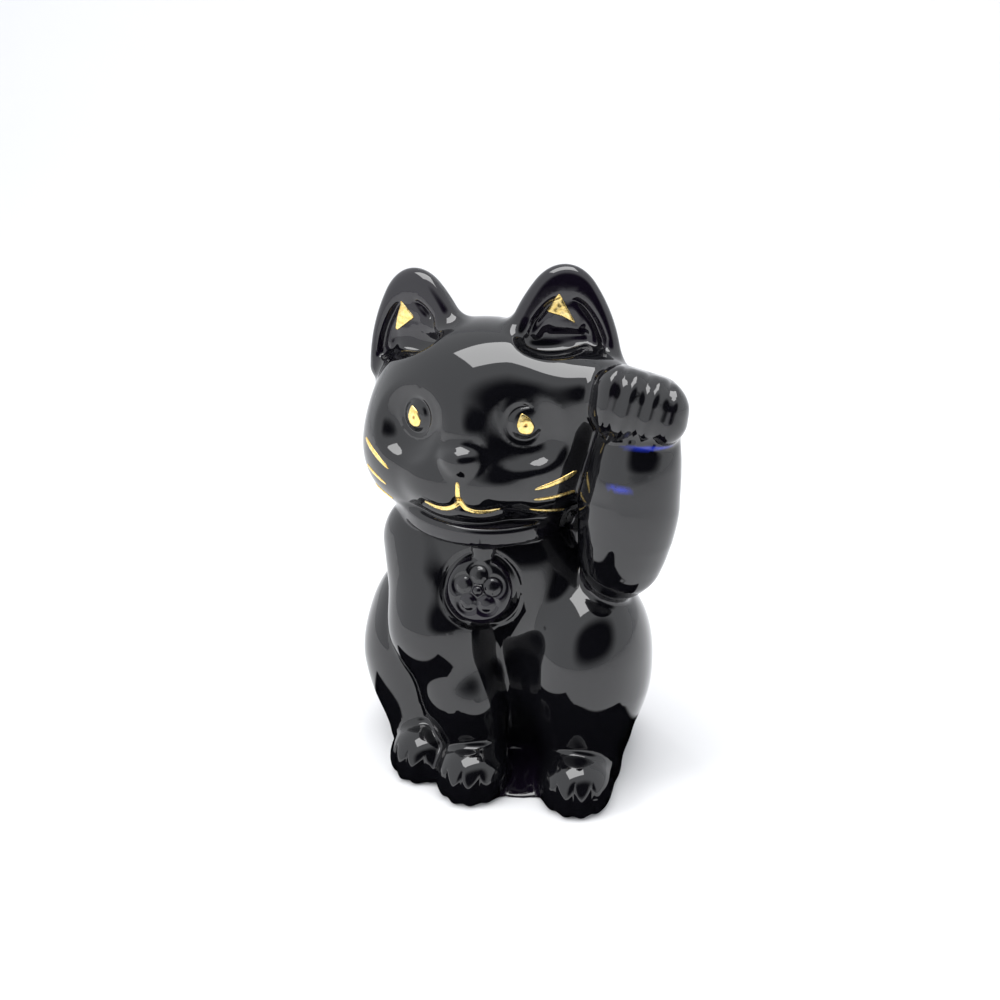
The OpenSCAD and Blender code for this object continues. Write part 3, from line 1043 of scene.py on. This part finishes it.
Colour = tuple[float, float, float, float]


def surface(name: str) -> tuple[bpy.types.Material, Tree, bpy.types.Node]:
    """Makes a material that shows one Principled shader.

    Args:
        name: The material's name.

    Returns:
        The material, its tree and the shader node.
    """
    material = bpy.data.materials.new(name)
    material.use_nodes = True
    tree = Tree(material.node_tree)
    shader = tree.add("ShaderNodeBsdfPrincipled")
    tree.add("ShaderNodeOutputMaterial", None, {"Surface": shader.outputs[0]})
    return material, tree, shader


@dataclass(frozen=True)
class CrystalGlass:
    """Near-black pressed glass, violet where it is thin, with painted deep blue glints that glow where light
    would shine through.
    """

    body: Colour = (0.003, 0.003, 0.004, 1.0)
    thin_violet: Colour = (0.0045, 0.003, 0.007, 1.0)
    # Painted colour of the blue glints where light would shine through, not a tint of thin glass
    painted_streak_blue: Colour = (0.006, 0.012, 0.09, 1.0)
    ior: float = 1.65
    smoothest: float = 0.018
    haze: float = 0.03
    speck: float = 0.05
    ripple: float = 0.04 * MM
    # Painted glow of the blue glints, standing in for light shining through the glass
    glow: Colour = (0.01, 0.02, 0.30, 1.0)

    def material(self) -> bpy.types.Material:
        """Returns the finished material."""
        material, tree, shader = surface("crystal_glass")
        thin = tree.attribute("thin").between(0.45, 0.95)
        # Painted glints: a mask of blue base colour and glow standing in for light through the glass
        glint = tree.attribute("glint")
        violet = tree.mix_colours(thin, self.body, self.thin_violet)
        colour = tree.mix_colours(glint, violet, self.painted_streak_blue)
        cloud = tree.noise(90.0, 4.0)
        specks = tree.noise(2600.0, 1.0).between(0.7, 0.8)
        rough = self.smoothest + cloud * self.haze + specks * self.speck
        normal = tree.bump(tree.noise(160.0, 1.0), 0.6, self.ripple)
        # Painted glow in the glints, though the glass is no lamp
        glow = tree.mix_colours(glint, (0, 0, 0, 1), self.glow)
        tree.plug(shader, {"Base Color": colour, "Roughness": rough, "Normal": normal, "IOR": self.ior,
                           "Emission Color": glow, "Emission Strength": 1.0})
        return material


@dataclass(frozen=True)
class FiredGold:
    """Bright gold brushed on and fired, browner where it is thin and at its edge, with painted shade in the
    dimples of the eyes.
    """

    rich: Colour = (0.95, 0.68, 0.22, 1.0)
    pale: Colour = (1.0, 0.80, 0.36, 1.0)
    # Brown of thin gold at the edges, also used for the painted shade in the eyes' dimples
    burnt_and_dimple_shade: Colour = (0.42, 0.22, 0.06, 1.0)
    smoothest: float = 0.16
    scatter: float = 0.16
    grit: float = 0.06
    ripple: float = 0.05 * MM

    def material(self) -> bpy.types.Material:
        """Returns the finished material."""
        material, tree, shader = surface("fired_gold")
        cloud = tree.noise(1400.0, 3.0)
        grain = tree.noise(9000.0, 2.0)
        tone = tree.mix_colours(cloud.between(0.35, 0.7), self.rich, self.pale)
        worn = 1 - tree.attribute("rise").between(0.05, 0.45)
        # Painted shade: the dimple in each eye is darkened in colour
        painted_dimple_shade = tree.attribute("dimple")
        colour = tree.mix_colours((worn * 0.7 + painted_dimple_shade).between(0.1, 1.0), tone, self.burnt_and_dimple_shade)
        rough = self.smoothest + cloud * self.scatter + grain * self.grit
        normal = tree.bump(cloud * 0.8 + grain * 0.2, 0.5, self.ripple)
        tree.plug(shader, {"Base Color": colour, "Roughness": rough, "Normal": normal, "Metallic": 1.0})
        return material


# ---------------------------------------------------------------- gold marks

def point_in(loop: np.ndarray, points: np.ndarray) -> np.ndarray:
    """Tells which points lie inside a closed loop."""
    inside = np.zeros(len(points), bool)
    for (ax, ay), (bx, by) in zip(loop, np.roll(loop, -1, 0)):
        crosses = (ay > points[:, 1]) != (by > points[:, 1])
        slope = (bx - ax) / (by - ay) if by != ay else 0
        inside ^= crosses & (points[:, 0] < ax + (points[:, 1] - ay) * slope)
    return inside


def distance_to_edges(points: np.ndarray, starts: np.ndarray, ends: np.ndarray) -> np.ndarray:
    """Returns each point's distance to the nearest of many short edges."""
    best = np.full(len(points), 1e3)
    for a, b in zip(starts, ends):
        d = b - a
        t = np.clip(((points - a) @ d) / max(float(d @ d), 1e-12), 0, 1)
        best = np.minimum(best, np.hypot(*(points - a - t[:, None] * d).T))
    return best


def brush_stroke(path: np.ndarray, width: float, fine: Pair, fullest: float) -> np.ndarray:
    """Draws the outline of one brush stroke.

    Args:
        path: Points along its middle, in mm.
        width: Its full width, in mm.
        fine: Share of the width left at the start and at the end.
        fullest: Where along the stroke it is fullest, from 0 to 1.

    Returns:
        The closed outline.
    """
    t = np.linspace(0, 1, len(path))
    swell = np.where(t < fullest, t / fullest, (1 - t) / (1 - fullest))
    ends = np.where(t < fullest, fine[0], fine[1])
    half = width / 2 * (ends + (1 - ends) * np.sqrt(np.clip(1 - (1 - swell) ** 2, 0, 1)))
    tangent = np.gradient(path, axis=0)
    tangent /= np.linalg.norm(tangent, axis=1, keepdims=True)
    normal = np.stack([-tangent[:, 1], tangent[:, 0]], -1)
    caps = []
    for k, sign in ((len(path) - 1, 1), (0, -1)):
        angles = np.linspace(math.pi / 2, -math.pi / 2, 7)[1:-1]
        arc = np.cos(angles)[:, None] * tangent[k] * sign + np.sin(angles)[:, None] * normal[k] * sign
        caps.append(path[k] + arc * half[k])
    offset = normal * half[:, None]
    return np.concatenate([path + offset, caps[0], (path - offset)[::-1], caps[1]])


def rounded_outline(corners: Sequence[Pair], radius: float, steps: int = 6) -> np.ndarray:
    """Rounds the corners of a polygon.

    Args:
        corners: Its corners, in order.
        radius: How far from each corner the rounding starts, in mm.
        steps: Points on each rounding.

    Returns:
        The closed outline.
    """
    loop = np.array(corners, float)
    result = []
    for before, corner, after in zip(np.roll(loop, 1, 0), loop, np.roll(loop, -1, 0)):
        start = corner + (before - corner) * radius / np.linalg.norm(before - corner)
        end = corner + (after - corner) * radius / np.linalg.norm(after - corner)
        result.append(curve_points(tuple(start), tuple(corner), tuple(end), steps))
    return np.concatenate(result)


def resampled(loop: np.ndarray, pitch: float) -> np.ndarray:
    """Returns a closed loop with points at an even pitch, in mm."""
    closed = np.concatenate([loop, loop[:1]])
    along = np.concatenate([[0], np.cumsum(np.linalg.norm(np.diff(closed, axis=0), axis=1))])
    count = max(8, int(round(along[-1] / pitch)))
    t = np.arange(count) * along[-1] / count
    return np.stack([np.interp(t, along, closed[:, k]) for k in range(2)], -1)


@dataclass
class Mark:
    """One island of fired-on gold: painted outlines in a frame that looks at the glass along +Y."""

    node: str
    place: Place
    outlines: list[np.ndarray]
    dimple: tuple[Pair, float] | None = None
    pitch: float = 0.13
    edge: float = 0.28

    def plate(self) -> bpy.types.Mesh:
        """Builds the mark as a flat closed plate with the numbers that the lay-on tree reads.

        Returns:
            A mesh with the attributes top, rise and dimple.
        """
        loops = [resampled(loop, self.pitch) for loop in self.outlines]
        everything = np.concatenate(loops)
        low, high = everything.min(0), everything.max(0)
        steps = [np.arange(low[k], high[k], self.pitch) for k in range(2)]
        grid = np.stack(np.meshgrid(*steps), -1).reshape(-1, 2)
        grid[:, 0] += (np.round((grid[:, 1] - low[1]) / self.pitch) % 2) * self.pitch / 2
        grid = grid[np.any([point_in(loop, grid) for loop in loops], axis=0)]
        clear = [distance_to_edges(grid, loop, np.roll(loop, -1, 0)) for loop in loops]
        grid = grid[np.min(clear, axis=0) > self.pitch * 0.6]
        numbers, start = [], 0
        for loop in loops:
            numbers.append(list(range(start, start + len(loop))))
            start += len(loop)
        points = [Vector(p) for p in np.concatenate([everything, grid]).tolist()]
        flat, _, faces = delaunay_2d_cdt(points, [], numbers, 1, 1e-5)[:3]
        return self.thicken(np.array([tuple(v) for v in flat]), [tuple(face) for face in faces])

    def thicken(self, flat: np.ndarray, faces: list[tuple[int, ...]]) -> bpy.types.Mesh:
        """Closes a flat patch into a plate.

        Args:
            flat: Points across and up the mark's frame, in mm.
            faces: Triangles of the patch.

        Returns:
            The closed mesh.
        """
        owners: dict[tuple[int, int], int] = {}
        for face in faces:
            for a, b in zip(face, face[1:] + face[:1]):
                owners[(a, b)] = owners.get((a, b), 0) + 1
        rim = [(a, b) for a, b in owners if (b, a) not in owners]
        used = sorted({k for face in faces for k in face})
        index = {old: new for new, old in enumerate(used)}
        flat = flat[used]
        faces = [tuple(index[k] for k in face) for face in faces]
        rim = [(index[a], index[b]) for a, b in rim]
        inset = distance_to_edges(flat, flat[[a for a, _ in rim]], flat[[b for _, b in rim]])
        inset[[a for a, _ in rim]] = 0
        rise = np.sqrt(1 - (1 - np.clip(inset / self.edge, 0, 1)) ** 2)
        dent = np.zeros(len(flat))
        if self.dimple:
            centre, radius = self.dimple
            dent = np.clip(1.3 - np.hypot(*(flat - centre).T) / radius, 0, 1)
        count = len(flat)
        local = np.stack([flat[:, 0], np.zeros(count), flat[:, 1]], -1)
        world = local @ self.place.matrix().T + self.place.at
        top = [tuple(face) for face in faces]
        bottom = [tuple(k + count for k in reversed(face)) for face in faces]
        sides = [(b, a, a + count, b + count) for a, b in rim]
        mesh = mesh_from(self.node, np.concatenate([world, world]), top + bottom + sides)
        add_attribute(mesh, "top", np.repeat([1.0, 0.0], count))
        add_attribute(mesh, "rise", np.tile(rise, 2))
        add_attribute(mesh, "dimple", np.tile(dent, 2))
        return mesh


@dataclass
class LayOn:
    """Geometry Nodes tree that lays flat gold plates onto the casting, with an uneven brushed thickness."""

    thickness: float = 0.16 * MM
    sink: float = 0.06 * MM
    unevenness: float = 0.5
    reach: float = 12 * MM
    seed: float = 7.0
    tree: bpy.types.NodeTree = field(init=False)
    inputs: dict[str, str] = field(init=False)

    def __post_init__(self) -> None:
        """Builds the tree once."""
        group = bpy.data.node_groups.new("lay_gold_on_glass", "GeometryNodeTree")
        make = group.interface.new_socket
        make("Plate", in_out="INPUT", socket_type="NodeSocketGeometry")
        kinds = {"Glass": "Object", "Gold": "Material", "Towards": "Vector"}
        kinds |= dict.fromkeys(("Thickness", "Sink", "Unevenness", "Reach", "Seed"), "Float")
        self.inputs = {name: make(name, in_out="INPUT", socket_type="NodeSocket" + kind).identifier
                       for name, kind in kinds.items()}
        make("Mark", in_out="OUTPUT", socket_type="NodeSocketGeometry")
        tree = Tree(group)
        given = tree.add("NodeGroupInput").outputs
        glass = tree.add("GeometryNodeObjectInfo", None, {"Object": given["Glass"]}).outputs["Geometry"]
        ray = {"Target Geometry": glass, "Ray Direction": given["Towards"], "Ray Length": given["Reach"]}
        hit = tree.add("GeometryNodeRaycast", None, ray).outputs
        top, rise, dimple = (self.read(tree, name) for name in ("top", "rise", "dimple"))
        noise = tree.wire("ShaderNodeTexNoise", 0, {"noise_dimensions": "4D"},
                          {"W": given["Seed"], "Scale": 1100.0, "Detail": 2.0})
        sizes = ("Thickness", "Sink", "Unevenness")
        thickness, sink, unevenness = (Wire(tree, given[name]) for name in sizes)
        uneven = 1 + (noise - 0.5) * unevenness * 2
        height = top * rise * thickness * uneven * (1 - dimple * 0.7) - (1 - top) * sink
        along = tree.add("ShaderNodeVectorMath", {"operation": "SCALE"},
                         {0: hit["Hit Normal"], "Scale": height}).outputs[0]
        place = tree.add("ShaderNodeVectorMath", {"operation": "ADD"},
                         {0: hit["Hit Position"], 1: along}).outputs[0]
        mark = given["Plate"]
        for kind, values in (("SetPosition", {"Position": place}), ("SetShadeSmooth", {}),
                             ("RealizeInstances", {}), ("SetMaterial", {"Material": given["Gold"]})):
            mark = tree.add("GeometryNode" + kind, None, {"Geometry": mark} | values).outputs[0]
        tree.add("NodeGroupOutput", None, {0: mark})
        self.tree = group

    @staticmethod
    def read(tree: Tree, name: str) -> Wire:
        """Returns a number stored on the plate."""
        settings = {"data_type": "FLOAT"}
        return tree.wire("GeometryNodeInputNamedAttribute", "Attribute", settings, {"Name": name})

    def apply(self, mark: Mark, glass: bpy.types.Object, gold: bpy.types.Material) -> bpy.types.Object:
        """Lays one mark on the glass.

        Args:
            mark: The mark.
            glass: The casting.
            gold: Its finish.

        Returns:
            The finished plain mesh object.
        """
        flat = new_object("flat_" + mark.node, mark.plate())
        modifier = flat.modifiers.new("lay_on", "NODES")
        modifier.node_group = self.tree
        towards = [float(v) for v in mark.place.matrix()[:, 1]]
        values = {"Glass": glass, "Gold": gold, "Towards": towards, "Thickness": self.thickness,
                  "Sink": self.sink, "Unevenness": self.unevenness, "Reach": self.reach, "Seed": self.seed}
        for name, value in values.items():
            modifier[self.inputs[name]] = value
        graph = bpy.context.evaluated_depsgraph_get()
        mesh = bpy.data.meshes.new_from_object(flat.evaluated_get(graph), preserve_all_data_layers=True,
                                               depsgraph=graph)
        mesh.name = mark.node
        bpy.data.objects.remove(flat)
        return new_object(mark.node + "_fired", mesh)


@dataclass
class GoldWork:
    """All eleven gold marks: ears, eyes, mouth and whiskers."""

    casting: Casting
    lay_on: LayOn
    whisker_rows: tuple[str, ...] = ("upper", "middle", "lower")
    # Inner and outer end of each whisker stroke, in X and Z, from the top row down
    whisker_ends: dict[Side, tuple[tuple[Pair, Pair], ...]] = field(default_factory=lambda: {
        Side.LEFT: (((9.2, 61.6), (15.8, 64.5)), ((8.9, 59.5), (15.6, 60.6)), ((8.0, 57.4), (13.4, 56.6))),
        Side.RIGHT: (((-19.3, 63.1), (-25.4, 67.3)), ((-20.5, 59.4), (-25.4, 62.0)),
                     ((-20.1, 55.8), (-24.4, 57.8)))})
    # How far each row is looked at from below, in degrees
    whisker_pitch: tuple[float, ...] = (0.0, 8.0, 24.0)
    whisker_turn: dict[Side, float] = field(default_factory=lambda: {Side.LEFT: 36.0, Side.RIGHT: -44.0})
    # Full width of the top row and of the others, and how far the plates hang in front of the cheek, in mm
    whisker_width: Pair = (1.0, 0.8)
    whisker_clear: float = 1.2
    mouth_width: float = 0.95
    # Corners of the ears' triangles and of the pupils, across and up from the middle of the mark, in mm
    ear_corners: dict[Side, tuple[Pair, ...]] = field(default_factory=lambda: {
        Side.RIGHT: ((-3.8, -2.4), (-3.1, -2.6), (1.2, -0.4), (-1.5, 3.1)),
        Side.LEFT: ((-3.8, 0.3), (-0.9, -0.4), (1.9, -1.7), (-1.5, 3.8))})
    ear_middle: float = 2.9
    teardrop: tuple[Pair, ...] = ((-0.75, 2.1), (0.9, 1.0), (1.75, -0.5), (1.3, -1.9),
                                  (0.1, -2.1), (-1.1, -1.7), (-1.6, -0.2))

    def marks(self) -> list[Mark]:
        """Returns every mark in the order in which it is painted."""
        return [*self.ears(), *self.eyes(), self.mouth(), *self.whiskers()]

    def ears(self) -> list[Mark]:
        """Returns the triangles in the ears."""
        ears = self.casting.ears
        result = []
        for side in Side:
            at = ears.place(side)
            in_ear = np.array([side.value * ears.outwards, -6.0, ears.pad_up + self.ear_middle])
            middle = np.array(at.at) + at.matrix() @ in_ear
            outline = rounded_outline(self.ear_corners[side], 0.5)
            result.append(Mark(f"ear_gold_{side.name.lower()}", Place(tuple(middle), at.turn), [outline]))
        return result

    def eyes(self) -> list[Mark]:
        """Returns the teardrop pupils."""
        result = []
        for side in Side:
            at = self.casting.face.eye(side)
            front = tuple(np.array(at.at) + at.matrix() @ np.array([0.0, -4.0, 0.0]))
            outline = rounded_outline(self.teardrop, 0.55)
            dimple = ((0.1, -0.2), 0.36)
            result.append(Mark(f"eye_gold_{side.name.lower()}", Place(front, at.turn), [outline], dimple))
        return result

    def mouth(self) -> Mark:
        """Returns the one stroke of philtrum and mouth."""
        philtrum, *curves = self.casting.face.mouth_lines()
        x, z = self.casting.face.fork
        at = Place((x, -20.0, z))
        middle = np.array([x, z])
        line = np.linspace(philtrum[0], philtrum[-1] + (0, -0.3), 14)
        outlines = [brush_stroke(line - middle, self.mouth_width, (0.7, 1.0), 0.75)]
        for curve in curves:
            t = np.linspace(0, 1, 30)
            path = np.stack([np.interp(t, np.linspace(0, 1, len(curve)), curve[:, k]) for k in range(2)], -1)
            outlines.append(brush_stroke(path - middle, self.mouth_width, (0.9, 0.3), 0.35))
        return Mark("mouth_gold", at, outlines)

    def whiskers(self) -> list[Mark]:
        """Returns the six whisker strokes."""
        result = []
        for side in Side:
            rows = zip(self.whisker_rows, self.whisker_pitch, self.whisker_ends[side])
            for row, pitch, stroke_ends in rows:
                turn = (pitch, 0.0, self.whisker_turn[side])
                ends = [self.in_front(*end) for end in stroke_ends]
                middle = (ends[0] + ends[1]) / 2
                clear = Place((0, 0, 0), turn).matrix() @ np.array([0, -self.whisker_clear, 0])
                at = Place(tuple(middle + clear), turn)
                flat = [at.local(np.asarray(end, np.float32))[[0, 2]] for end in ends]
                bow = np.array([(flat[0][1] - flat[1][1]), flat[1][0] - flat[0][0]]) * 0.05
                path = curve_points(tuple(flat[0]), tuple((flat[0] + flat[1]) / 2 - bow), tuple(flat[1]), 40)
                width = self.whisker_width[row != self.whisker_rows[0]]
                outline = brush_stroke(path, width, (0.3, 0.5), 0.6)
                result.append(Mark(f"whisker_gold_{side.name.lower()}_{row}", at, [outline]))
        return result

    def in_front(self, x: float, z: float) -> np.ndarray:
        """Finds where a line from the front along +Y meets the cheek.

        Args:
            x: Place across, on the glass, in mm.
            z: Height, in mm.

        Returns:
            The point on the glass.
        """
        point = np.array([[x, -30.0, z]], np.float32)
        for _ in range(60):
            point[:, 1] += 0.8 * self.casting.distance(point)
        return point[0]

    def build(self, glass: bpy.types.Object) -> list[bpy.types.Object]:
        """Fires all the gold onto the glass.

        Args:
            glass: The finished casting.

        Returns:
            The pieces.
        """
        gold = FiredGold().material()
        pieces = []
        for mark in self.marks():
            piece = self.lay_on.apply(mark, glass, gold)
            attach(piece, "root")
            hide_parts(mark.node)
            log.info("%s: %d faces", piece.name, len(piece.data.polygons))
            pieces.append(piece)
        return pieces


@dataclass
class Crystal:
    """The glass casting as a finished piece."""

    casting: Casting
    # Painted blue glints, standing in for light that comes through the glass as a streak: middle and half
    # size, in mm
    painted_light_streaks: tuple[tuple[Triple, Triple], ...] = (((29.4, -15.0, 71.6), (3.4, 3.2, 0.28)),
                                                     ((25.0, -17.0, 64.7), (1.7, 3.4, 0.32)))

    def build(self) -> bpy.types.Object:
        """Sculpts, meshes and dresses the casting."""
        mesh = Sculptor(self.casting).build("crystal_body")
        self.fit(mesh)
        piece = new_object("crystal_casting", mesh)
        piece.data.materials.append(CrystalGlass().material())
        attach(piece, "root")
        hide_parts("crystal_body")
        return piece

    def fit(self, mesh: bpy.types.Mesh) -> None:
        """Stores the painted blue glints and keeps the mesh inside the box of its CAD body."""
        places = np.empty(len(mesh.vertices) * 3, np.float32)
        mesh.vertices.foreach_get("co", places)
        places = places.reshape(-1, 3)
        # Mask of the painted blue glints, where light would shine through the glass
        glint = np.zeros(len(places))
        for middle, half in self.painted_light_streaks:
            far = np.linalg.norm((places / MM - middle) / np.array(half), axis=1)
            glint = np.maximum(glint, np.clip(1.6 - far, 0, 1))
        add_attribute(mesh, "glint", glint)
        low, high = (np.array(corner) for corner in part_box("crystal_body"))
        log.info("sculpt %s %s, CAD %s %s", places.min(0), places.max(0), low, high)
        mesh.vertices.foreach_set("co", np.clip(places, low, high).astype(np.float32).ravel())
        mesh.update()


# ---------------------------------------------------------------- studio

def aim(piece: bpy.types.Object, at: Triple, towards: Triple) -> None:
    """Places an object and turns its -Z axis towards a point, both in metres."""
    piece.location = at
    piece.rotation_euler = (Vector(towards) - Vector(at)).to_track_quat("-Z", "Y").to_euler()


def direction(azimuth: float, elevation: float) -> Vector:
    """Returns a unit vector; azimuth 0 looks from the front, at -Y, and turns towards +X."""
    a, e = math.radians(azimuth), math.radians(elevation)
    return Vector((math.sin(a) * math.cos(e), -math.cos(a) * math.cos(e), math.sin(e)))


@dataclass(frozen=True)
class Softbox:
    """One soft light: its place, the point that it faces, width and height in metres, and power in watts."""

    name: str
    at: Triple
    towards: Triple
    size: Pair
    power: float
    # Its turn about its own axis, in degrees
    roll: float = 0.0
    # Whether the glass mirrors it
    mirrored: bool = True

    def hang(self) -> None:
        """Puts the light in the studio."""
        data = bpy.data.lights.new(self.name, "AREA")
        data.shape, data.energy = "RECTANGLE", self.power
        data.size, data.size_y = self.size
        lamp = bpy.data.objects.new(self.name, data)
        bpy.context.scene.collection.objects.link(lamp)
        aim(lamp, self.at, self.towards)
        lamp.rotation_euler.rotate_axis("Z", math.radians(self.roll))
        lamp.visible_camera = False
        lamp.visible_glossy = self.mirrored


@dataclass(frozen=True)
class DarkBoard:
    """A black sheet that only mirrors in the glass and fades out at its edge."""

    name: str
    # Width and height in metres
    size: Pair
    # Share of its half width over which it fades
    fade: float
    # 2 for an ellipse, more for sharper corners
    squareness: float
    cells: int = 32

    def hang(self, centre: Sequence[float], turn: np.ndarray) -> None:
        """Puts the board in the studio.

        Args:
            centre: Its place in metres.
            turn: Its rotation.
        """
        n = self.cells + 1
        steps = np.linspace(-1, 1, n)
        u, v = (grid.ravel() for grid in np.meshgrid(steps, steps, indexing="ij"))
        flat = np.stack([u * self.size[0] / 2, v * self.size[1] / 2, 0 * u], -1)
        places = flat @ turn.T + np.array(centre)
        quads = [(i * n + j, i * n + n + j, i * n + n + j + 1, i * n + j + 1)
                 for i in range(self.cells) for j in range(self.cells)]
        board = new_object(self.name, mesh_from(self.name, places / MM, quads))
        out = (np.abs(u) ** self.squareness + np.abs(v) ** self.squareness) ** (1 / self.squareness)
        add_attribute(board.data, "inner", np.clip((1 - out) / self.fade, 0, 1))
        material, tree, shader = surface(self.name)
        opaque = tree.attribute("inner").between(0.0, 1.0)
        tree.plug(shader, {"Alpha": opaque, "Base Color": (0.0, 0.0, 0.0, 1.0), "Specular IOR Level": 0.0})
        board.data.materials.append(material)
        for ray in ("camera", "diffuse", "shadow", "transmission"):
            setattr(board, "visible_" + ray, False)


@dataclass
class Studio:
    """Pale floor, soft light and the camera."""

    eye: Triple = (0.0477, -0.1756, 0.1185)
    heading: float = 15.5
    dip: float = 19.4
    lens: float = 35.28
    sensor: float = 36.0
    floor_half: float = 1.5
    floor_back: float = 0.55
    floor_rise: float = 0.5
    middle: Triple = (0.0, 0.0, 0.05)
    sky: float = 1.05

    def build(self) -> None:
        """Sets up everything around the cat."""
        self.camera()
        self.floor()
        self.world()
        self.lights()
        view = bpy.context.scene.view_settings
        view.view_transform = "Standard"

    def camera(self) -> None:
        """Places the camera."""
        data = bpy.data.cameras.new("camera")
        data.lens, data.sensor_width = self.lens, self.sensor
        data.clip_start = 0.01
        camera = bpy.data.objects.new("camera", data)
        bpy.context.scene.collection.objects.link(camera)
        ahead = -direction(self.heading, self.dip)
        aim(camera, self.eye, tuple(Vector(self.eye) + ahead))
        bpy.context.scene.camera = camera

    def floor(self) -> None:
        """Makes one pale sheet that lies flat and sweeps up far behind the cat."""
        profile = [(-self.floor_half, 0.0), (self.floor_back, 0.0)]
        for k in range(1, 13):
            angle = math.pi / 2 * k / 12
            profile.append((self.floor_back + self.floor_rise * math.sin(angle),
                            self.floor_rise * (1 - math.cos(angle))))
        profile.append((self.floor_back + self.floor_rise, 2.0))
        vertices = np.array([(x, y, z) for y, z in profile for x in (-self.floor_half, self.floor_half)]) / MM
        faces = [(2 * k, 2 * k + 1, 2 * k + 3, 2 * k + 2) for k in range(len(profile) - 1)]
        sheet = new_object("floor", mesh_from("floor", vertices, faces))
        material, tree, shader = surface("pale_floor")
        cloud = tree.noise(3.0, 3.0)
        colour = tree.mix_colours(cloud, (0.80, 0.80, 0.81, 1.0), (0.84, 0.84, 0.845, 1.0))
        tree.plug(shader, {"Base Color": colour, "Roughness": 0.7})
        sheet.data.materials.append(material)

    def world(self) -> None:
        """Lights everything from an even pale sky."""
        world = bpy.data.worlds.new("sky")
        world.use_nodes = True
        tree = Tree(world.node_tree)
        glow = tree.add("ShaderNodeBackground", None, {"Color": (0.95, 0.97, 1.0, 1.0), "Strength": self.sky})
        tree.add("ShaderNodeOutputWorld", None, {"Surface": glow.outputs[0]})
        bpy.context.scene.world = world

    def lights(self) -> None:
        """Hangs the softboxes and the dark boards that the glass mirrors."""
        Softbox("ceiling_softbox", (0.00, -0.06, 0.75), (0.00, -0.0599, 0.0), (0.62, 0.34), 3.5, 33.0).hang()
        Softbox("side_softbox", (-0.8, -0.5, 0.7), self.middle, (0.5, 0.5), 6.0, mirrored=False).hang()
        centre = Vector(self.middle) + direction(33.0, 27.0) * 0.55
        turn = (Vector(self.middle) - centre).to_track_quat("-Z", "Y").to_matrix()
        DarkBoard("dark_flag", (1.3, 0.76), 0.55, 2.6).hang(centre, np.array(turn))
        flat = Place((0, 0, 0), (0, 0, 45.0)).matrix().astype(float)
        DarkBoard("dark_mat", (0.082, 0.082), 0.02, 60.0).hang((0.0, -0.012, 0.0002), flat)


def main() -> None:
    """Builds the cat and its studio."""
    logging.basicConfig(level=logging.INFO, format="%(name)s: %(message)s")
    Studio().build()
    casting = Casting()
    glass = Crystal(casting).build()
    GoldWork(casting, LayOn()).build(glass)


if __name__ == "__main__":
    main()
